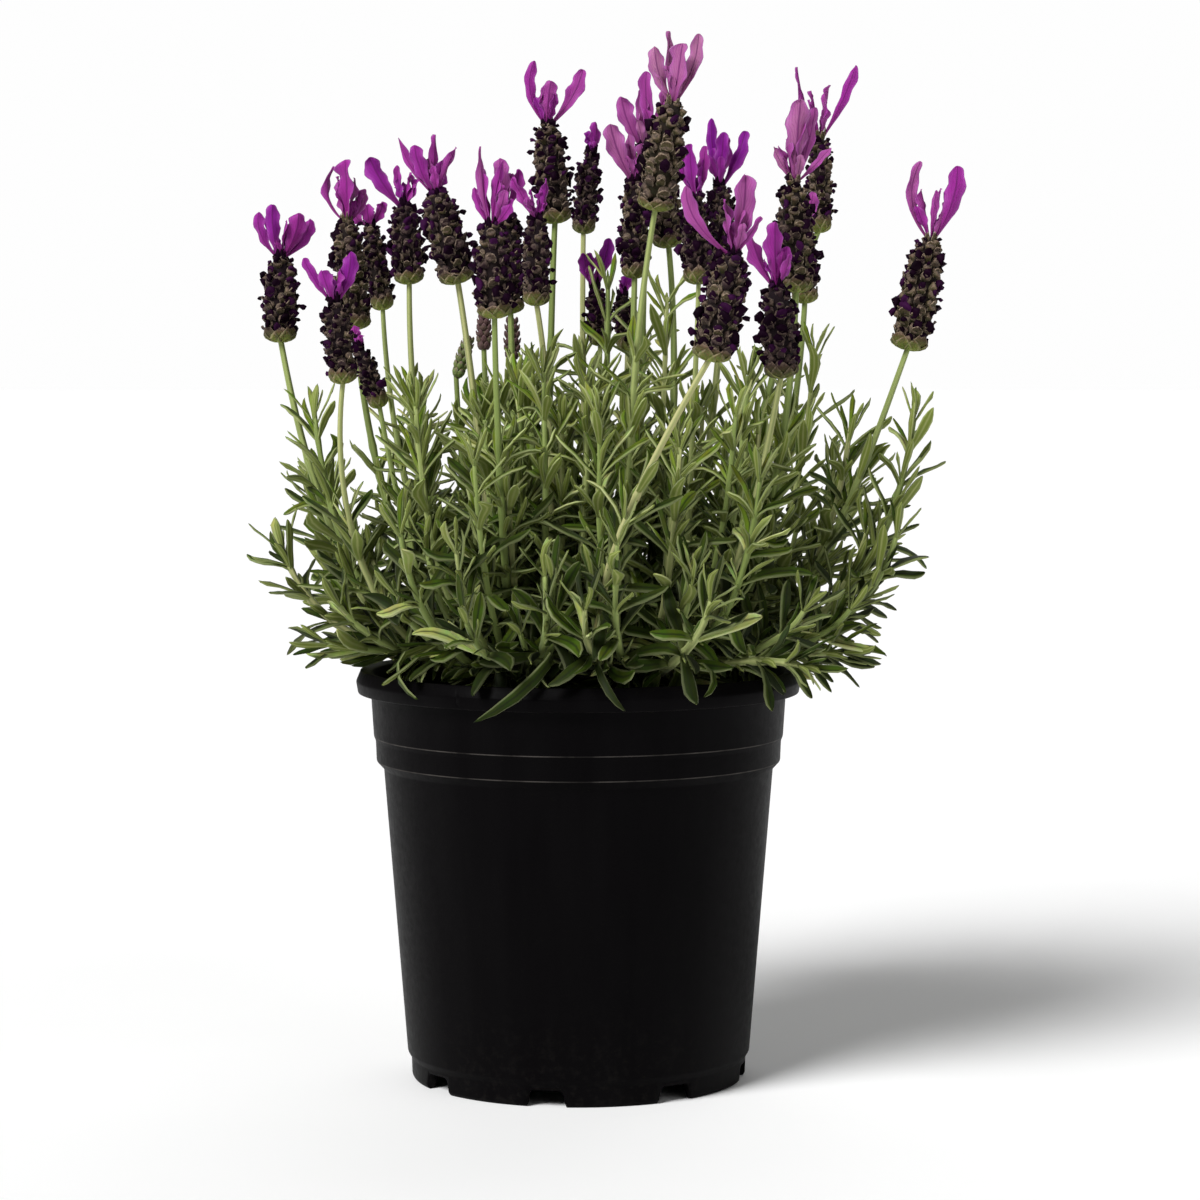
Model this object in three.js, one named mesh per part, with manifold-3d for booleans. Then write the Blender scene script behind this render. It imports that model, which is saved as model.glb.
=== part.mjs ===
// A potted French lavender: a black two-litre nursery pot, its soil, six branches of leafy shoots
// that stand in the soil, and on their stalks the flower spikes, each with its tuft of violet bracts.
// Millimetres, +Z up. The origin is the middle of the pot's underside and -Y faces the viewer.
import * as THREE from "three";
import { mergeVertices } from "three/addons/utils/BufferGeometryUtils.js";
import Module from "manifold-3d";

const wasm = await Module();
wasm.setup();

// Driving dimensions of the pot
const potHeight = 152.4;
const potSides = 28;
const wall = 1.8;
const rimRadius = 82.5;
const neckRadius = 77;
const bandTopRadius = 76;
const bandRadius = 75.2;
const wallTopRadius = 72.3;
const wallTop = 115.6;
const boreTop = 140;
const wallFootRadius = 63.8;
const footRadius = 62.2;
const floorUnder = 7;
const floorTop = 9.5;
const padRadius = 12;
const notchCount = 8;
const notchWidth = 15;
const notchHeight = 6.2;
const notchTurn = 34.5;
const drainRadius = 4;
const drainRing = 42;

// The soil stands below the rim, a little higher in the middle
const soilEdge = 138;
const soilCrown = 144;
const soilRough = 1.2;
const clearance = 0.3;

// Stems and leaves
const trunkRadius = 3;
const trunkDepth = 24;
const trunkTop = 157;
const shootFoot = 1.7;
const shootNeck = 1.25;
const stalkTip = 1.05;
const stalkLength = 50;
const kneeHeight = 161;
const kneeShare = 0.84;
const nodeSpacing = 13.5;
const leafLength = 28;
const leafWidth = 4.3;
const leafThickness = 1.1;
const leafGap = 0.4;
const outerLeafShare = { below: 0.33, above: 0.48, from: 185 };
const innerLeafShare = { below: 0.03, above: 0.46, from: 200 };
const outerReach = 78;

// Flower spikes
const spikeSides = 8;
const spikeRings = 6;
const knobHeight = 1.3;
const neckOfSpike = 2.6;
const bractThickness = 0.9;

// Six branches, each with the place where its woody foot stands in the soil
const branches = [
  { name: "branch_left", foot: [-38, 0] },
  { name: "branch_front_left", foot: [-22, -32] },
  { name: "branch_front_right", foot: [24, -34] },
  { name: "branch_right", foot: [42, -2] },
  { name: "branch_back_right", foot: [24, 34] },
  { name: "branch_back_left", foot: [-24, 34] },
];

// Flower heads. Each has its branch, the foot of its spike, a point below it that the stalk comes from,
// how far the spike's top leans over (x, y), its length and width, and its bracts.
// A bract is the place of its tip above the spike's top (x, y, z), its width and its sideways bow.
const heads = [
  { on: 0, foot: [-111, 10, 275], via: [-103, 8, 228], lean: [0, 0], long: 30, wide: 15.6,
    bracts: [[-7.4, -3, 16.3, 4.2, -3], [-2.2, -5, 18.9, 5, -1], [7.1, -1, 16, 6.4, 2], [10.9, 5, 14.1, 4.6, 3]] },
  { on: 5, foot: [-85, 50, 280], via: [-81, 46, 235], lean: [-3, 0], long: 40, wide: 14.8,
    bracts: [[0, -5, 22.8, 8.6, 1], [-4.6, 5, 20.5, 3.6, -6], [6.8, 1, 12, 4, 1.5]] },
  { on: 0, foot: [-84, -40, 260], via: [-80, -38, 222], lean: [-3, -2], long: 28, wide: 13,
    bracts: [[-10.8, 0, 15.1, 3.4, -1], [-4, -4, 10.4, 4.8, 0], [5.8, 1, 17.3, 5.2, 2]] },
  { on: 0, foot: [-73, -12, 251], via: [-68, -11, 222], lean: [-8, -1], long: 22, wide: 9.5,
    bracts: [[-1.5, 0, 7.5, 3.4, 0]] },
  { on: 5, foot: [-75, 80, 288], via: [-73, 72, 246], lean: [-5, 2], long: 32, wide: 11.6,
    bracts: [[-5.4, 0, 9.4, 4, -1], [0.5, -4, 12.5, 4.6, 0], [5.6, 2, 13.4, 4.2, 1]] },
  { on: 0, foot: [-64, 30, 297], via: [-63, 27, 248], lean: [-2, 0], long: 28, wide: 14.3,
    bracts: [[-12.8, -2, 17.7, 6.2, -1.5], [-2.6, 3, 15, 2.6, -1], [5.3, 0, 9.5, 4, 0.5]] },
  { on: 1, foot: [-46, -25, 296], via: [-38, -24, 245], lean: [-8, -2], long: 32, wide: 16.7,
    bracts: [[-11.6, 2, 19.6, 2.4, -2], [-5.4, -3, 16.7, 5, -1.5], [1.8, 2, 20.7, 3.6, -1], [9.1, -1, 16, 3.2, -1]] },
  { on: 1, foot: [-29, -65, 283], via: [-29, -60, 240], lean: [-1, -2], long: 31, wide: 15.6,
    bracts: [[-5.2, -1, 27, 3, -2], [3.4, 0, 22, 3, -1], [-6, 4, 13, 2.8, -1], [8, -3, 8.4, 3.4, 1]] },
  { on: 5, foot: [-24, 30, 286], via: [-22, 28, 245], lean: [-2, 1], long: 38, wide: 13.5,
    bracts: [[-1.8, -3, 18.4, 6, -0.5], [5, 2, 14.5, 4.6, 1]] },
  { on: 1, foot: [-15, -30, 288], via: [-9, -28, 245], lean: [0, 0], long: 30, wide: 12.4,
    bracts: [[-8.7, 0, 14.1, 4, 0.5], [3.6, 1, 13.8, 3.4, 1], [-3.5, -6, 6.5, 4, 0]] },
  { on: 5, foot: [-8, 35, 320], via: [-10, 33, 268], lean: [-3, -1], long: 36, wide: 15.8,
    bracts: [[-4.7, 1, 23.4, 3.8, -4.5], [1.5, -3, 15.5, 5.6, -0.5], [13.6, 0, 20, 5.2, 2.5]] },
  { on: 4, foot: [3, 85, 318], via: [2, 76, 262], lean: [3, 1], long: 30, wide: 11.7,
    bracts: [[1.6, -0.5, 11.9, 4.6, 1]] },
  { on: 2, foot: [27, -60, 319], via: [20, -57, 262], lean: [6, -9], long: 40, wide: 17,
    bracts: [[-6.4, 1, 19, 5, -1.5], [-1.4, 3, 24.5, 4, -0.5], [3.4, -4, 19.6, 7.4, 0.5], [8.9, 1, 23.4, 4.4, 2.5]] },
  { on: 4, foot: [34, 40, 311], via: [36, 37, 262], lean: [-5, 1], long: 39, wide: 15.1,
    bracts: [[-3.4, -1, 26, 5, -1.5], [3, 1, 18.9, 4.8, 0.5]] },
  { on: 4, foot: [26, 90, 321], via: [25, 80, 268], lean: [-1, 2], long: 30, wide: 14,
    bracts: [[-8.6, -1, 19, 6.2, -1.5], [-0.8, 1, 22.2, 5, 0]] },
  { on: 4, foot: [21, 20, 299], via: [20, 19, 255], lean: [0, 0], long: 35, wide: 12.7,
    bracts: [[-9.2, -2, 20.4, 6.6, -1.5], [-2.4, 3, 17, 3.6, 0]] },
  { on: 3, foot: [44, -15, 296], via: [43, -14, 255], lean: [-1, 0], long: 30, wide: 14.3,
    bracts: [[-6.9, 0, 19.7, 4.6, -1], [-2.2, -4, 18.8, 5, -0.5], [3.6, 1, 18.3, 4, 0.5]] },
  { on: 4, foot: [56, 60, 305], via: [54, 55, 258], lean: [-2, 1], long: 29, wide: 13.8,
    bracts: [[-3.1, 1, 25.6, 3.6, -1], [1.6, -4, 20, 4.8, 0], [10, 0, 20.7, 5, 1.5]] },
  { on: 2, foot: [47, -95, 268], via: [24, -82, 220], lean: [8, -3], long: 36, wide: 16,
    bracts: [[-17.7, -1, 22.6, 4.6, -5], [2.1, 1, 26.4, 7, 1], [7.6, -2, 12.2, 2.4, 0]] },
  { on: 2, foot: [72, -60, 262], via: [66, -56, 228], lean: [-2, -1], long: 31, wide: 15.6,
    bracts: [[-8.2, 0, 17.4, 4.8, -1.5], [-0.7, -3, 22, 6, -0.5], [5.7, 1, 13.5, 4, 1.5]] },
  { on: 3, foot: [81, -15, 293], via: [80, -14, 245], lean: [-1, -1], long: 39, wide: 16.1,
    bracts: [[0.2, -3, 28.9, 7.4, -1], [6.4, 2, 26.3, 4.6, 1], [-8, 1, 12, 2.6, -0.5], [12.8, -1, 11.5, 2.6, 0.5]] },
  { on: 4, foot: [96, 75, 318], via: [90, 69, 262], lean: [0, 1], long: 36, wide: 13.1,
    bracts: [[-10.4, 0, 26.3, 3, -2], [12.2, 0, 27, 3.8, 1.5], [-3.4, -3, 9, 3, -0.5]] },
  { on: 3, foot: [86, 40, 290], via: [84, 36, 245], lean: [-1, 1], long: 27, wide: 12.9,
    bracts: [[4, -1, 13.2, 4.4, 0.5], [-4.4, 1, 11.3, 4.2, -0.5]] },
  { on: 3, foot: [122, 0, 272], via: [102, 0, 216], lean: [8, 0], long: 40, wide: 17,
    bracts: [[-3.7, 1, 28.4, 4.2, -6], [9.6, -1, 26.6, 6.4, 3], [2, -2, 17.7, 2.6, 0]] },
  { on: 4, foot: [6, 55, 274], via: [6, 51, 240], lean: [-2, 0], long: 21, wide: 10.7,
    bracts: [[-4.2, -1, 12.6, 4.4, -1], [5.6, 1, 18.4, 4.6, 0.5]] },
  { on: 4, foot: [19, 100, 272], via: [18, 92, 238], lean: [-2, 2], long: 21, wide: 11,
    bracts: [[2.2, -1, 9.6, 4, 0.5]] },
];

// Flower buds, still green: branch, foot, lean, length, width
const buds = [
  { on: 5, foot: [-48, 70, 259], lean: [5, 0], long: 16, wide: 6.4 },
  { on: 5, foot: [-38, 95, 270], lean: [0, 2], long: 14, wide: 6.6 },
  { on: 5, foot: [-26, 62, 266], lean: [0, 0], long: 16, wide: 7 },
];

// Leafy shoots without a flower: branch and tip
const leafyTips = [
  [0, -97, -6, 246], [0, -112, -14, 203], [0, -104, 16, 186], [0, -92, -34, 178], [0, -100, 34, 216],
  [1, -58, -42, 250], [1, -12, -52, 262], [1, -62, -72, 206], [1, -8, -84, 190], [1, -38, -92, 176],
  [1, -36, -74, 232], [2, 36, -72, 236], [2, 64, -74, 226], [2, 80, -62, 178], [2, 14, -92, 204],
  [2, 46, -98, 184], [2, 8, -66, 248],
  [3, 120, -14, 250], [3, 126, -24, 208], [3, 106, -42, 180], [3, 94, 6, 246], [3, 120, 22, 196],
  [4, 76, 86, 232], [4, 104, 62, 214], [4, 42, 112, 206], [4, 14, 22, 284], [4, 8, 116, 190],
  [5, -98, 66, 218], [5, -62, 98, 226], [5, -28, 112, 204], [5, -84, 84, 188],
];

const violet = "#8c3a94";
const colours = { pot: "#17171a", soil: "#1d1611", leaf: "#5f7148", spike: "#33242f", bract: violet };

const degree = Math.PI / 180;
const up = new THREE.Vector3(0, 0, 1);
const vector = (place) => new THREE.Vector3(...place);

// A steady random number from 0 to 1 for each set of three keys
function chance(a, b, c) {
  const wave = Math.sin(a * 12.9898 + b * 78.233 + c * 37.719) * 43758.5453;
  return wave - Math.floor(wave);
}

// A number spread evenly round zero
function jitter(a, b, c, size) {
  return (chance(a, b, c) * 2 - 1) * size;
}

// The closed surface of a geometry as a solid
function solidOf(geometry) {
  geometry.deleteAttribute("normal");
  geometry.deleteAttribute("uv");
  const merged = mergeVertices(geometry, 1e-4);
  const index = merged.index.array;
  const kept = [];
  for (let i = 0; i < index.length; i += 3) {
    const [a, b, c] = [index[i], index[i + 1], index[i + 2]];
    if (a !== b && b !== c && c !== a) kept.push(a, b, c);
  }
  const vertProperties = merged.attributes.position.array;
  return new wasm.Manifold(new wasm.Mesh({ numProp: 3, vertProperties, triVerts: new Uint32Array(kept) }));
}

// A solid as a named mesh with its own material
function meshOf(solid, name, colour, roughness) {
  const made = solid.getMesh();
  const geometry = new THREE.BufferGeometry();
  geometry.setAttribute("position", new THREE.BufferAttribute(made.vertProperties, 3));
  geometry.setIndex(new THREE.BufferAttribute(made.triVerts, 1));
  geometry.computeVertexNormals();
  const mesh = new THREE.Mesh(geometry, new THREE.MeshStandardMaterial({ color: colour, roughness, metalness: 0 }));
  mesh.name = name;
  return mesh;
}

// All solids joined, with slivers from the joints smoothed away
function joined(solids) {
  const whole = wasm.Manifold.union(solids);
  return whole.simplify(0.02);
}

// A round profile, given as radius and height, turned about +Z
function turned(profile, sides) {
  const points = profile.map(([radius, height]) => new THREE.Vector2(radius, height));
  return new THREE.LatheGeometry(points, sides).rotateX(Math.PI / 2);
}

// Lays a shape that stands round the Y axis from y = 0 to y = 1 along a curve.
// Its X side follows the given side direction, and spread(t, angle) is its half size at each height.
function laidAlong(shape, curve, side, spread) {
  const place = shape.attributes.position;
  for (let i = 0; i < place.count; i += 1) {
    const t = THREE.MathUtils.clamp(place.getY(i), 0, 1);
    const ahead = curve.getTangent(t);
    const across = side.clone().addScaledVector(ahead, -side.dot(ahead)).normalize();
    const front = across.clone().cross(ahead);
    const onAxis = Math.hypot(place.getX(i), place.getZ(i)) < 1e-6;
    const angle = Math.atan2(place.getZ(i), place.getX(i));
    const [halfAcross, halfFront] = onAxis ? [0, 0] : spread(t, angle);
    const spot = curve.getPoint(t);
    spot.addScaledVector(across, halfAcross * Math.cos(angle));
    spot.addScaledVector(front, halfFront * Math.sin(angle));
    place.setXYZ(i, spot.x, spot.y, spot.z);
  }
  return shape;
}

// A rod with flat ends, from y = 0 to 1
function rodShape(sides, steps) {
  return new THREE.CylinderGeometry(1, 1, 1, sides, steps).translate(0, 0.5, 0);
}

// A spindle, pointed at both ends, from y = 0 to 1, with its rings evenly spaced
function spindleShape(sides, rings) {
  const shape = new THREE.SphereGeometry(1, sides, rings + 1);
  const place = shape.attributes.position;
  for (let i = 0; i < place.count; i += 1) {
    const height = Math.acos(THREE.MathUtils.clamp(place.getY(i), -1, 1)) / Math.PI;
    place.setY(i, 1 - height);
  }
  return shape;
}

// Inner wall radius of the pot at a height: one slope up to the bands and another behind them
function boreRadius(height) {
  if (height > wallTop) {
    const climb = (height - wallTop) / (boreTop - wallTop);
    return THREE.MathUtils.lerp(wallTopRadius, neckRadius - 1.2, climb) - wall;
  }
  const rise = (height - floorTop) / (wallTop - floorTop);
  return THREE.MathUtils.lerp(wallFootRadius, wallTopRadius, rise) - wall;
}

function makePot() {
  const outside = [
    [0, 0], [padRadius, 0], [padRadius + 1.5, floorUnder], [57.5, floorUnder], [59.6, 0],
    [61.4, 0], [footRadius, 1.2], [62.4, 7.6], [wallFootRadius, 10],
    [wallTopRadius, wallTop], [bandRadius - 0.2, 118.5], [bandRadius + 0.1, 126],
    [bandTopRadius, 127.7], [neckRadius, 143.5], [rimRadius - 0.7, 143.8], [rimRadius, 148],
    [rimRadius - 1.8, potHeight],
  ];
  const inside = [
    [neckRadius - 0.6, potHeight - 1], [boreRadius(boreTop), boreTop],
    [boreRadius(wallTop), wallTop], [boreRadius(floorTop), floorTop], [0, floorTop],
  ];
  let body = solidOf(turned([...outside, ...inside], potSides));
  const top = notchHeight;
  const notch = new THREE.Shape([
    new THREE.Vector2(-notchWidth / 2, -1), new THREE.Vector2(notchWidth / 2, -1),
    new THREE.Vector2(notchWidth / 2 - 1.4, top), new THREE.Vector2(1.4 - notchWidth / 2, top),
  ]);
  for (let i = 0; i < notchCount; i += 1) {
    const turn = (i * 360 / notchCount + notchTurn) * degree;
    const cut = new THREE.ExtrudeGeometry(notch, { depth: 14, bevelEnabled: false });
    cut.rotateX(Math.PI / 2).translate(0, -54, 0).rotateZ(turn);
    body = body.subtract(solidOf(cut));
    const drain = new THREE.CylinderGeometry(drainRadius, drainRadius, 6, 6).rotateX(Math.PI / 2);
    drain.translate(0, -drainRing, floorUnder + 1).rotateZ(turn);
    if (i % 2 === 0) body = body.subtract(solidOf(drain));
  }
  return meshOf(body, "pot", colours.pot, 0.5);
}

// Height of the soil's surface at a place
function soilHeight(x, y) {
  const share = Math.min(Math.hypot(x, y) / 70, 1);
  return soilCrown + (soilEdge - soilCrown) * share * share;
}

function makeSoil() {
  const low = floorTop + clearance;
  const profile = [
    [0, low], [boreRadius(low) - clearance, low],
    [boreRadius(wallTop) - clearance, wallTop], [boreRadius(soilEdge) - clearance, soilEdge],
    [40, soilHeight(40, 0)], [0, soilCrown],
  ];
  const shape = turned(profile, potSides);
  const place = shape.attributes.position;
  for (let i = 0; i < place.count; i += 1) {
    const [x, y, z] = [place.getX(i), place.getY(i), place.getZ(i)];
    const clod = Math.sin(x * 0.21 + 1) * Math.cos(y * 0.17) * soilRough;
    if (z > soilEdge - 0.5 && Math.hypot(x, y) > 1) place.setZ(i, z + clod);
  }
  let body = solidOf(shape);
  for (const { foot } of branches) {
    const hole = new THREE.CylinderGeometry(trunkRadius + clearance + 0.2, trunkRadius + clearance + 0.2, 60, 6);
    hole.rotateX(Math.PI / 2).translate(foot[0], foot[1], soilCrown - trunkDepth + 30 - clearance);
    body = body.subtract(solidOf(hole));
  }
  return meshOf(body, "soil", colours.soil, 0.95);
}

// The curve of a shoot: out from its branch's foot, over the rim, then up to its tip
function shootCurve(branch, tip, via, rank) {
  const [footX, footY] = branches[branch].foot;
  const start = new THREE.Vector3(footX, footY, soilCrown + 3 + (rank % 5) * 2);
  const end = vector(tip);
  const bend = via ? vector(via) : new THREE.Vector3(tip[0] * 0.94, tip[1] * 0.94, kneeHeight + (tip[2] - kneeHeight) * 0.4);
  const knee = new THREE.Vector3(bend.x * kneeShare, bend.y * kneeShare, kneeHeight);
  return new THREE.CubicBezierCurve3(start, knee, bend, end);
}

// Every shoot of the plant, flowering ones first, with where its leaves stop
function listShoots() {
  const shoots = [];
  const ranks = branches.map(() => 0);
  const add = (on, tip, via, stalk, kind) => {
    const curve = shootCurve(on, tip, via, ranks[on]);
    ranks[on] += 1;
    const outer = Math.hypot(tip[0], tip[1]) > outerReach;
    const steps = kind === "leaf" && tip[2] < 215 ? 3 : 4;
    const number = shoots.length;
    const turn = chance(number, 0, 2) * Math.PI / 2;
    const corner = new THREE.Vector3(Math.cos(turn), Math.sin(turn), 0);
    shoots.push({ on, curve, steps, stalk, kind, outer, number, corner });
  };
  heads.forEach(({ on, foot, via }) => add(on, [foot[0], foot[1], foot[2] - clearance], via, stalkLength, "head"));
  buds.forEach(({ on, foot }) => add(on, foot, null, 22, "bud"));
  leafyTips.forEach(([on, ...tip]) => add(on, tip, null, 0, "leaf"));
  return shoots;
}

// Steps along a curve at even distances, as curve parameters
function evenSteps(curve, from, to, spacing) {
  const steps = [];
  const parts = 80;
  let gone = 0;
  let next = from;
  let before = curve.getPoint(0);
  const length = curveLength(curve);
  for (let i = 1; i <= parts; i += 1) {
    const here = curve.getPoint(i / parts);
    gone += here.distanceTo(before);
    before = here;
    if (gone >= next && gone <= length - to) {
      steps.push(i / parts);
      next += spacing;
    }
  }
  return steps;
}

function curveLength(curve) {
  const parts = 80;
  let length = 0;
  for (let i = 1; i <= parts; i += 1) length += curve.getPoint(i / parts).distanceTo(curve.getPoint((i - 1) / parts));
  return length;
}

// A place on the straight stretches that a shoot's stem is built from
function stemPoint({ curve, steps }, t) {
  const step = Math.min(Math.floor(t * steps), steps - 1);
  return curve.getPoint(step / steps).lerp(curve.getPoint((step + 1) / steps), t * steps - step);
}

function makeShoot(shoot) {
  const tipRadius = shoot.kind === "leaf" ? 0.8 : stalkTip;
  const spread = (t) => {
    const taper = t < 0.6 ? shootFoot + (shootNeck - shootFoot) * t / 0.6 : shootNeck + (tipRadius - shootNeck) * (t - 0.6) / 0.4;
    return [taper * 1.2, taper * 1.2];
  };
  return laidAlong(rodShape(4, shoot.steps), shoot.curve, shoot.corner, spread);
}

// What is already in place, as rods with a radius, so that a new leaf can grow clear of it
const placed = [];

function occupy(points, radius, owner) {
  for (let i = 1; i < points.length; i += 1) placed.push({ from: points[i - 1], to: points[i], radius, owner });
}

// The least distance between two straight stretches
function stretchDistance(a, b, c, d) {
  const along = b.clone().sub(a);
  const other = d.clone().sub(c);
  const apart = a.clone().sub(c);
  const aa = along.dot(along);
  const ee = other.dot(other);
  const f = other.dot(apart);
  const g = along.dot(apart);
  const ab = along.dot(other);
  const spread = aa * ee - ab * ab;
  let s = spread > 1e-9 ? THREE.MathUtils.clamp((ab * f - g * ee) / spread, 0, 1) : 0;
  let t = (ab * s + f) / ee;
  if (t < 0 || t > 1) {
    t = THREE.MathUtils.clamp(t, 0, 1);
    s = THREE.MathUtils.clamp((ab * t - g) / aa, 0, 1);
  }
  return apart.addScaledVector(along, s).addScaledVector(other, -t).length();
}

// Whether a leaf along these points stays clear of the pot, the soil and all that is in place
function isClear(points, radius, owner) {
  for (const spot of points) {
    if (spot.z < potHeight + 2.2 && Math.hypot(spot.x, spot.y) < rimRadius + 3) return false;
  }
  for (const item of placed) {
    if (item.owner === owner) continue;
    for (let i = 1; i < points.length; i += 1) {
      const near = stretchDistance(points[i - 1], points[i], item.from, item.to);
      if (near < radius + item.radius + leafGap) return false;
    }
  }
  return true;
}

// The curve of a leaf that leaves a shoot at a point, at a turn round the stem, rising then arching over
function leafCurve(root, stem, corner, turn, rise, droop, length) {
  const flat = corner.clone().addScaledVector(stem, -corner.dot(stem)).normalize();
  const outward = flat.applyAxisAngle(stem, turn);
  const side = new THREE.Vector3().crossVectors(stem, outward);
  const lead = outward.clone().applyAxisAngle(side, -rise);
  const tail = outward.clone().applyAxisAngle(side, droop - rise);
  const middle = root.clone().addScaledVector(lead, length * 0.5);
  const end = middle.clone().addScaledVector(tail, length * 0.5);
  return { curve: new THREE.QuadraticBezierCurve3(root, middle, end), side };
}

// A narrow leaf with a keel below
function makeLeaf({ curve, side }, length) {
  const half = leafWidth / 2 * (0.7 + 0.3 * length / leafLength);
  const spread = (t) => {
    const fill = t < 0.5 ? 0.86 : 1;
    return [half * fill * 1.15, leafThickness / 2];
  };
  const shape = spindleShape(3, 2).rotateY(Math.PI / 2);
  return laidAlong(shape, curve, side, spread);
}

// The leaf pairs of a shoot, each pair turned a quarter from the one below
function shootLeaves(shoot) {
  const leaves = [];
  const { curve, number } = shoot;
  const ends = shoot.kind === "leaf" ? 5 : shoot.stalk;
  const steps = evenSteps(curve, 20, ends, nodeSpacing);
  steps.forEach((t, node) => {
    const last = shoot.kind === "leaf" && node === steps.length - 1;
    const share = steps.length > 1 ? node / (steps.length - 1) : 1;
    const root = stemPoint(shoot, t);
    const kept = shoot.outer ? outerLeafShare : innerLeafShare;
    if (!last && chance(number, node, 1) > (root.z > kept.from ? kept.above : kept.below)) return;
    const stem = curve.getTangent(t);
    for (let half = 0; half < 2; half += 1) {
      const key = node * 2 + half;
      const turn = (45 + node * 90 + half * 180 + jitter(number, key, 3, 9)) * degree;
      const rise = (28 + 34 * share + jitter(number, key, 4, 9)) * degree;
      const droop = (34 - 22 * share + jitter(number, key, 5, 12)) * degree;
      const length = leafLength * (1 - 0.3 * share * share) * (1 + jitter(number, key, 6, 0.14));
      const leaf = fitLeaf(shoot, root, stem, turn, rise, droop, length);
      if (leaf) leaves.push(leaf);
    }
  });
  return leaves;
}

// Tries the leaf as it would grow, then bent aside, higher, lower or shorter, until it is clear
function fitLeaf({ number, corner }, root, stem, turn, rise, droop, length) {
  for (const size of [1, 0.78]) {
    for (const swing of [0, 20, -20, 42, -42]) {
      for (const lift of [0, 16, -16]) {
        const grown = leafCurve(root, stem, corner, turn + swing * degree, rise + lift * degree, droop, length * size);
        const points = [0.22, 0.5, 0.75, 1].map((t) => grown.curve.getPoint(t));
        if (isClear(points, leafWidth / 2, "shoot" + number)) {
          occupy(points, leafWidth / 2, "leaf");
          return makeLeaf(grown, length * size);
        }
      }
    }
  }
  return null;
}

// The frame of a head: its foot, its axis and its top
function headAxis({ foot, lean, long }) {
  const axis = new THREE.Vector3(lean[0], lean[1], long).normalize();
  return { bottom: vector(foot), axis, top: vector(foot).addScaledVector(axis, long) };
}

// Half width of a spike over its height: a green cup below, a full body and a narrow top
function spikeOutline(t, half) {
  const cup = THREE.MathUtils.smoothstep(t, -0.02, 0.12);
  const top = 1 - THREE.MathUtils.smoothstep(t, 0.72, 1.04) * 0.62;
  return half * (0.3 + 0.6 * cup) * top;
}

// A spike whose florets stand out as staggered knobs
function makeSpike(head, name) {
  const { bottom, top } = headAxis(head);
  const curve = new THREE.LineCurve3(bottom, top);
  const spread = (t, angle) => {
    const column = Math.round(angle / (Math.PI * 2 / spikeSides)) + spikeSides;
    const ring = Math.round(t * spikeRings);
    const atEnd = ring === 0 || ring === spikeRings;
    const knob = atEnd ? 0 : (column + ring) % 2 === 0 ? knobHeight : -knobHeight * 0.35;
    const size = ring === spikeRings ? neckOfSpike : spikeOutline(t, head.wide / 2) + knob;
    return [size, size];
  };
  const shape = laidAlong(rodShape(spikeSides, spikeRings), curve, new THREE.Vector3(1, 0, 0), spread);
  return meshOf(solidOf(shape), name, colours.spike, 0.8);
}

// The centre line of a bract, from the middle of the spike's top to its tip
function bractCurve(top, axis, [x, y, z, , bow]) {
  const root = top.clone().addScaledVector(axis, clearance + 1.1);
  const tip = top.clone().add(new THREE.Vector3(x, y, z));
  const lower = root.clone().lerp(tip, 0.36).add(new THREE.Vector3(bow * 1.2, y * 0.25, 0));
  const upper = root.clone().lerp(tip, 0.74).add(new THREE.Vector3(bow * 0.9, y * 0.15, 0));
  return new THREE.CubicBezierCurve3(root, lower, upper, tip);
}

// A tuft of bracts on a small crown that sits on the spike
function makeBracts(head, name) {
  const { top, axis } = headAxis(head);
  const crown = new THREE.ConeGeometry(2.3, 3.6, 5).rotateX(Math.PI / 2).translate(0, 0, 1.8 + clearance);
  crown.applyQuaternion(new THREE.Quaternion().setFromUnitVectors(up, axis)).translate(top.x, top.y, top.z);
  const solids = [solidOf(crown)];
  for (const bract of head.bracts) {
    const [x, y, , width] = bract;
    const side = new THREE.Vector3(Math.abs(x) + 6, y * 0.5, 0).normalize();
    const spread = (t) => {
      const fill = t < 0.3 ? 0.5 : t < 0.6 ? 0.95 : 0.9;
      return [width / 2 * fill * 1.1, bractThickness / 2 * 1.25];
    };
    const shape = spindleShape(3, 3).rotateY(Math.PI / 2);
    solids.push(solidOf(laidAlong(shape, bractCurve(top, axis, bract), side, spread)));
  }
  return meshOf(joined(solids), name, colours.bract, 0.6);
}

function makeBud(bud) {
  const { bottom, top } = headAxis(bud);
  const spread = (t) => {
    const half = bud.wide / 2 * (t < 0.7 ? 1 : 0.8);
    return [half, half];
  };
  const curve = new THREE.LineCurve3(bottom.add(new THREE.Vector3(0, 0, -2)), top);
  return laidAlong(spindleShape(6, 4), curve, new THREE.Vector3(1, 0, 0), spread);
}

// The woody foot of a branch, from its hole in the soil up to where the shoots part
function makeTrunk({ foot }) {
  const low = new THREE.Vector3(foot[0], foot[1], soilCrown - trunkDepth);
  const high = new THREE.Vector3(foot[0], foot[1], trunkTop);
  const spread = (t) => [trunkRadius * (1 - 0.25 * t), trunkRadius * (1 - 0.25 * t)];
  return laidAlong(rodShape(6, 1), new THREE.LineCurve3(low, high), new THREE.Vector3(1, 0, 0), spread);
}

const lavender = new THREE.Group();
lavender.add(makePot(), makeSoil());

heads.forEach((head, i) => {
  const number = String(i + 1).padStart(2, "0");
  lavender.add(makeSpike(head, "spike_" + number), makeBracts(head, "bracts_" + number));
  const { bottom, axis, top } = headAxis(head);
  occupy([bottom.clone().addScaledVector(axis, 4), top.clone().addScaledVector(axis, -3)], head.wide / 2 + 0.6, "head");
  for (const bract of head.bracts) {
    const curve = bractCurve(top, axis, bract);
    occupy([0.1, 0.5, 1].map((t) => curve.getPoint(t)), bract[3] / 2, "head");
  }
});

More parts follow.
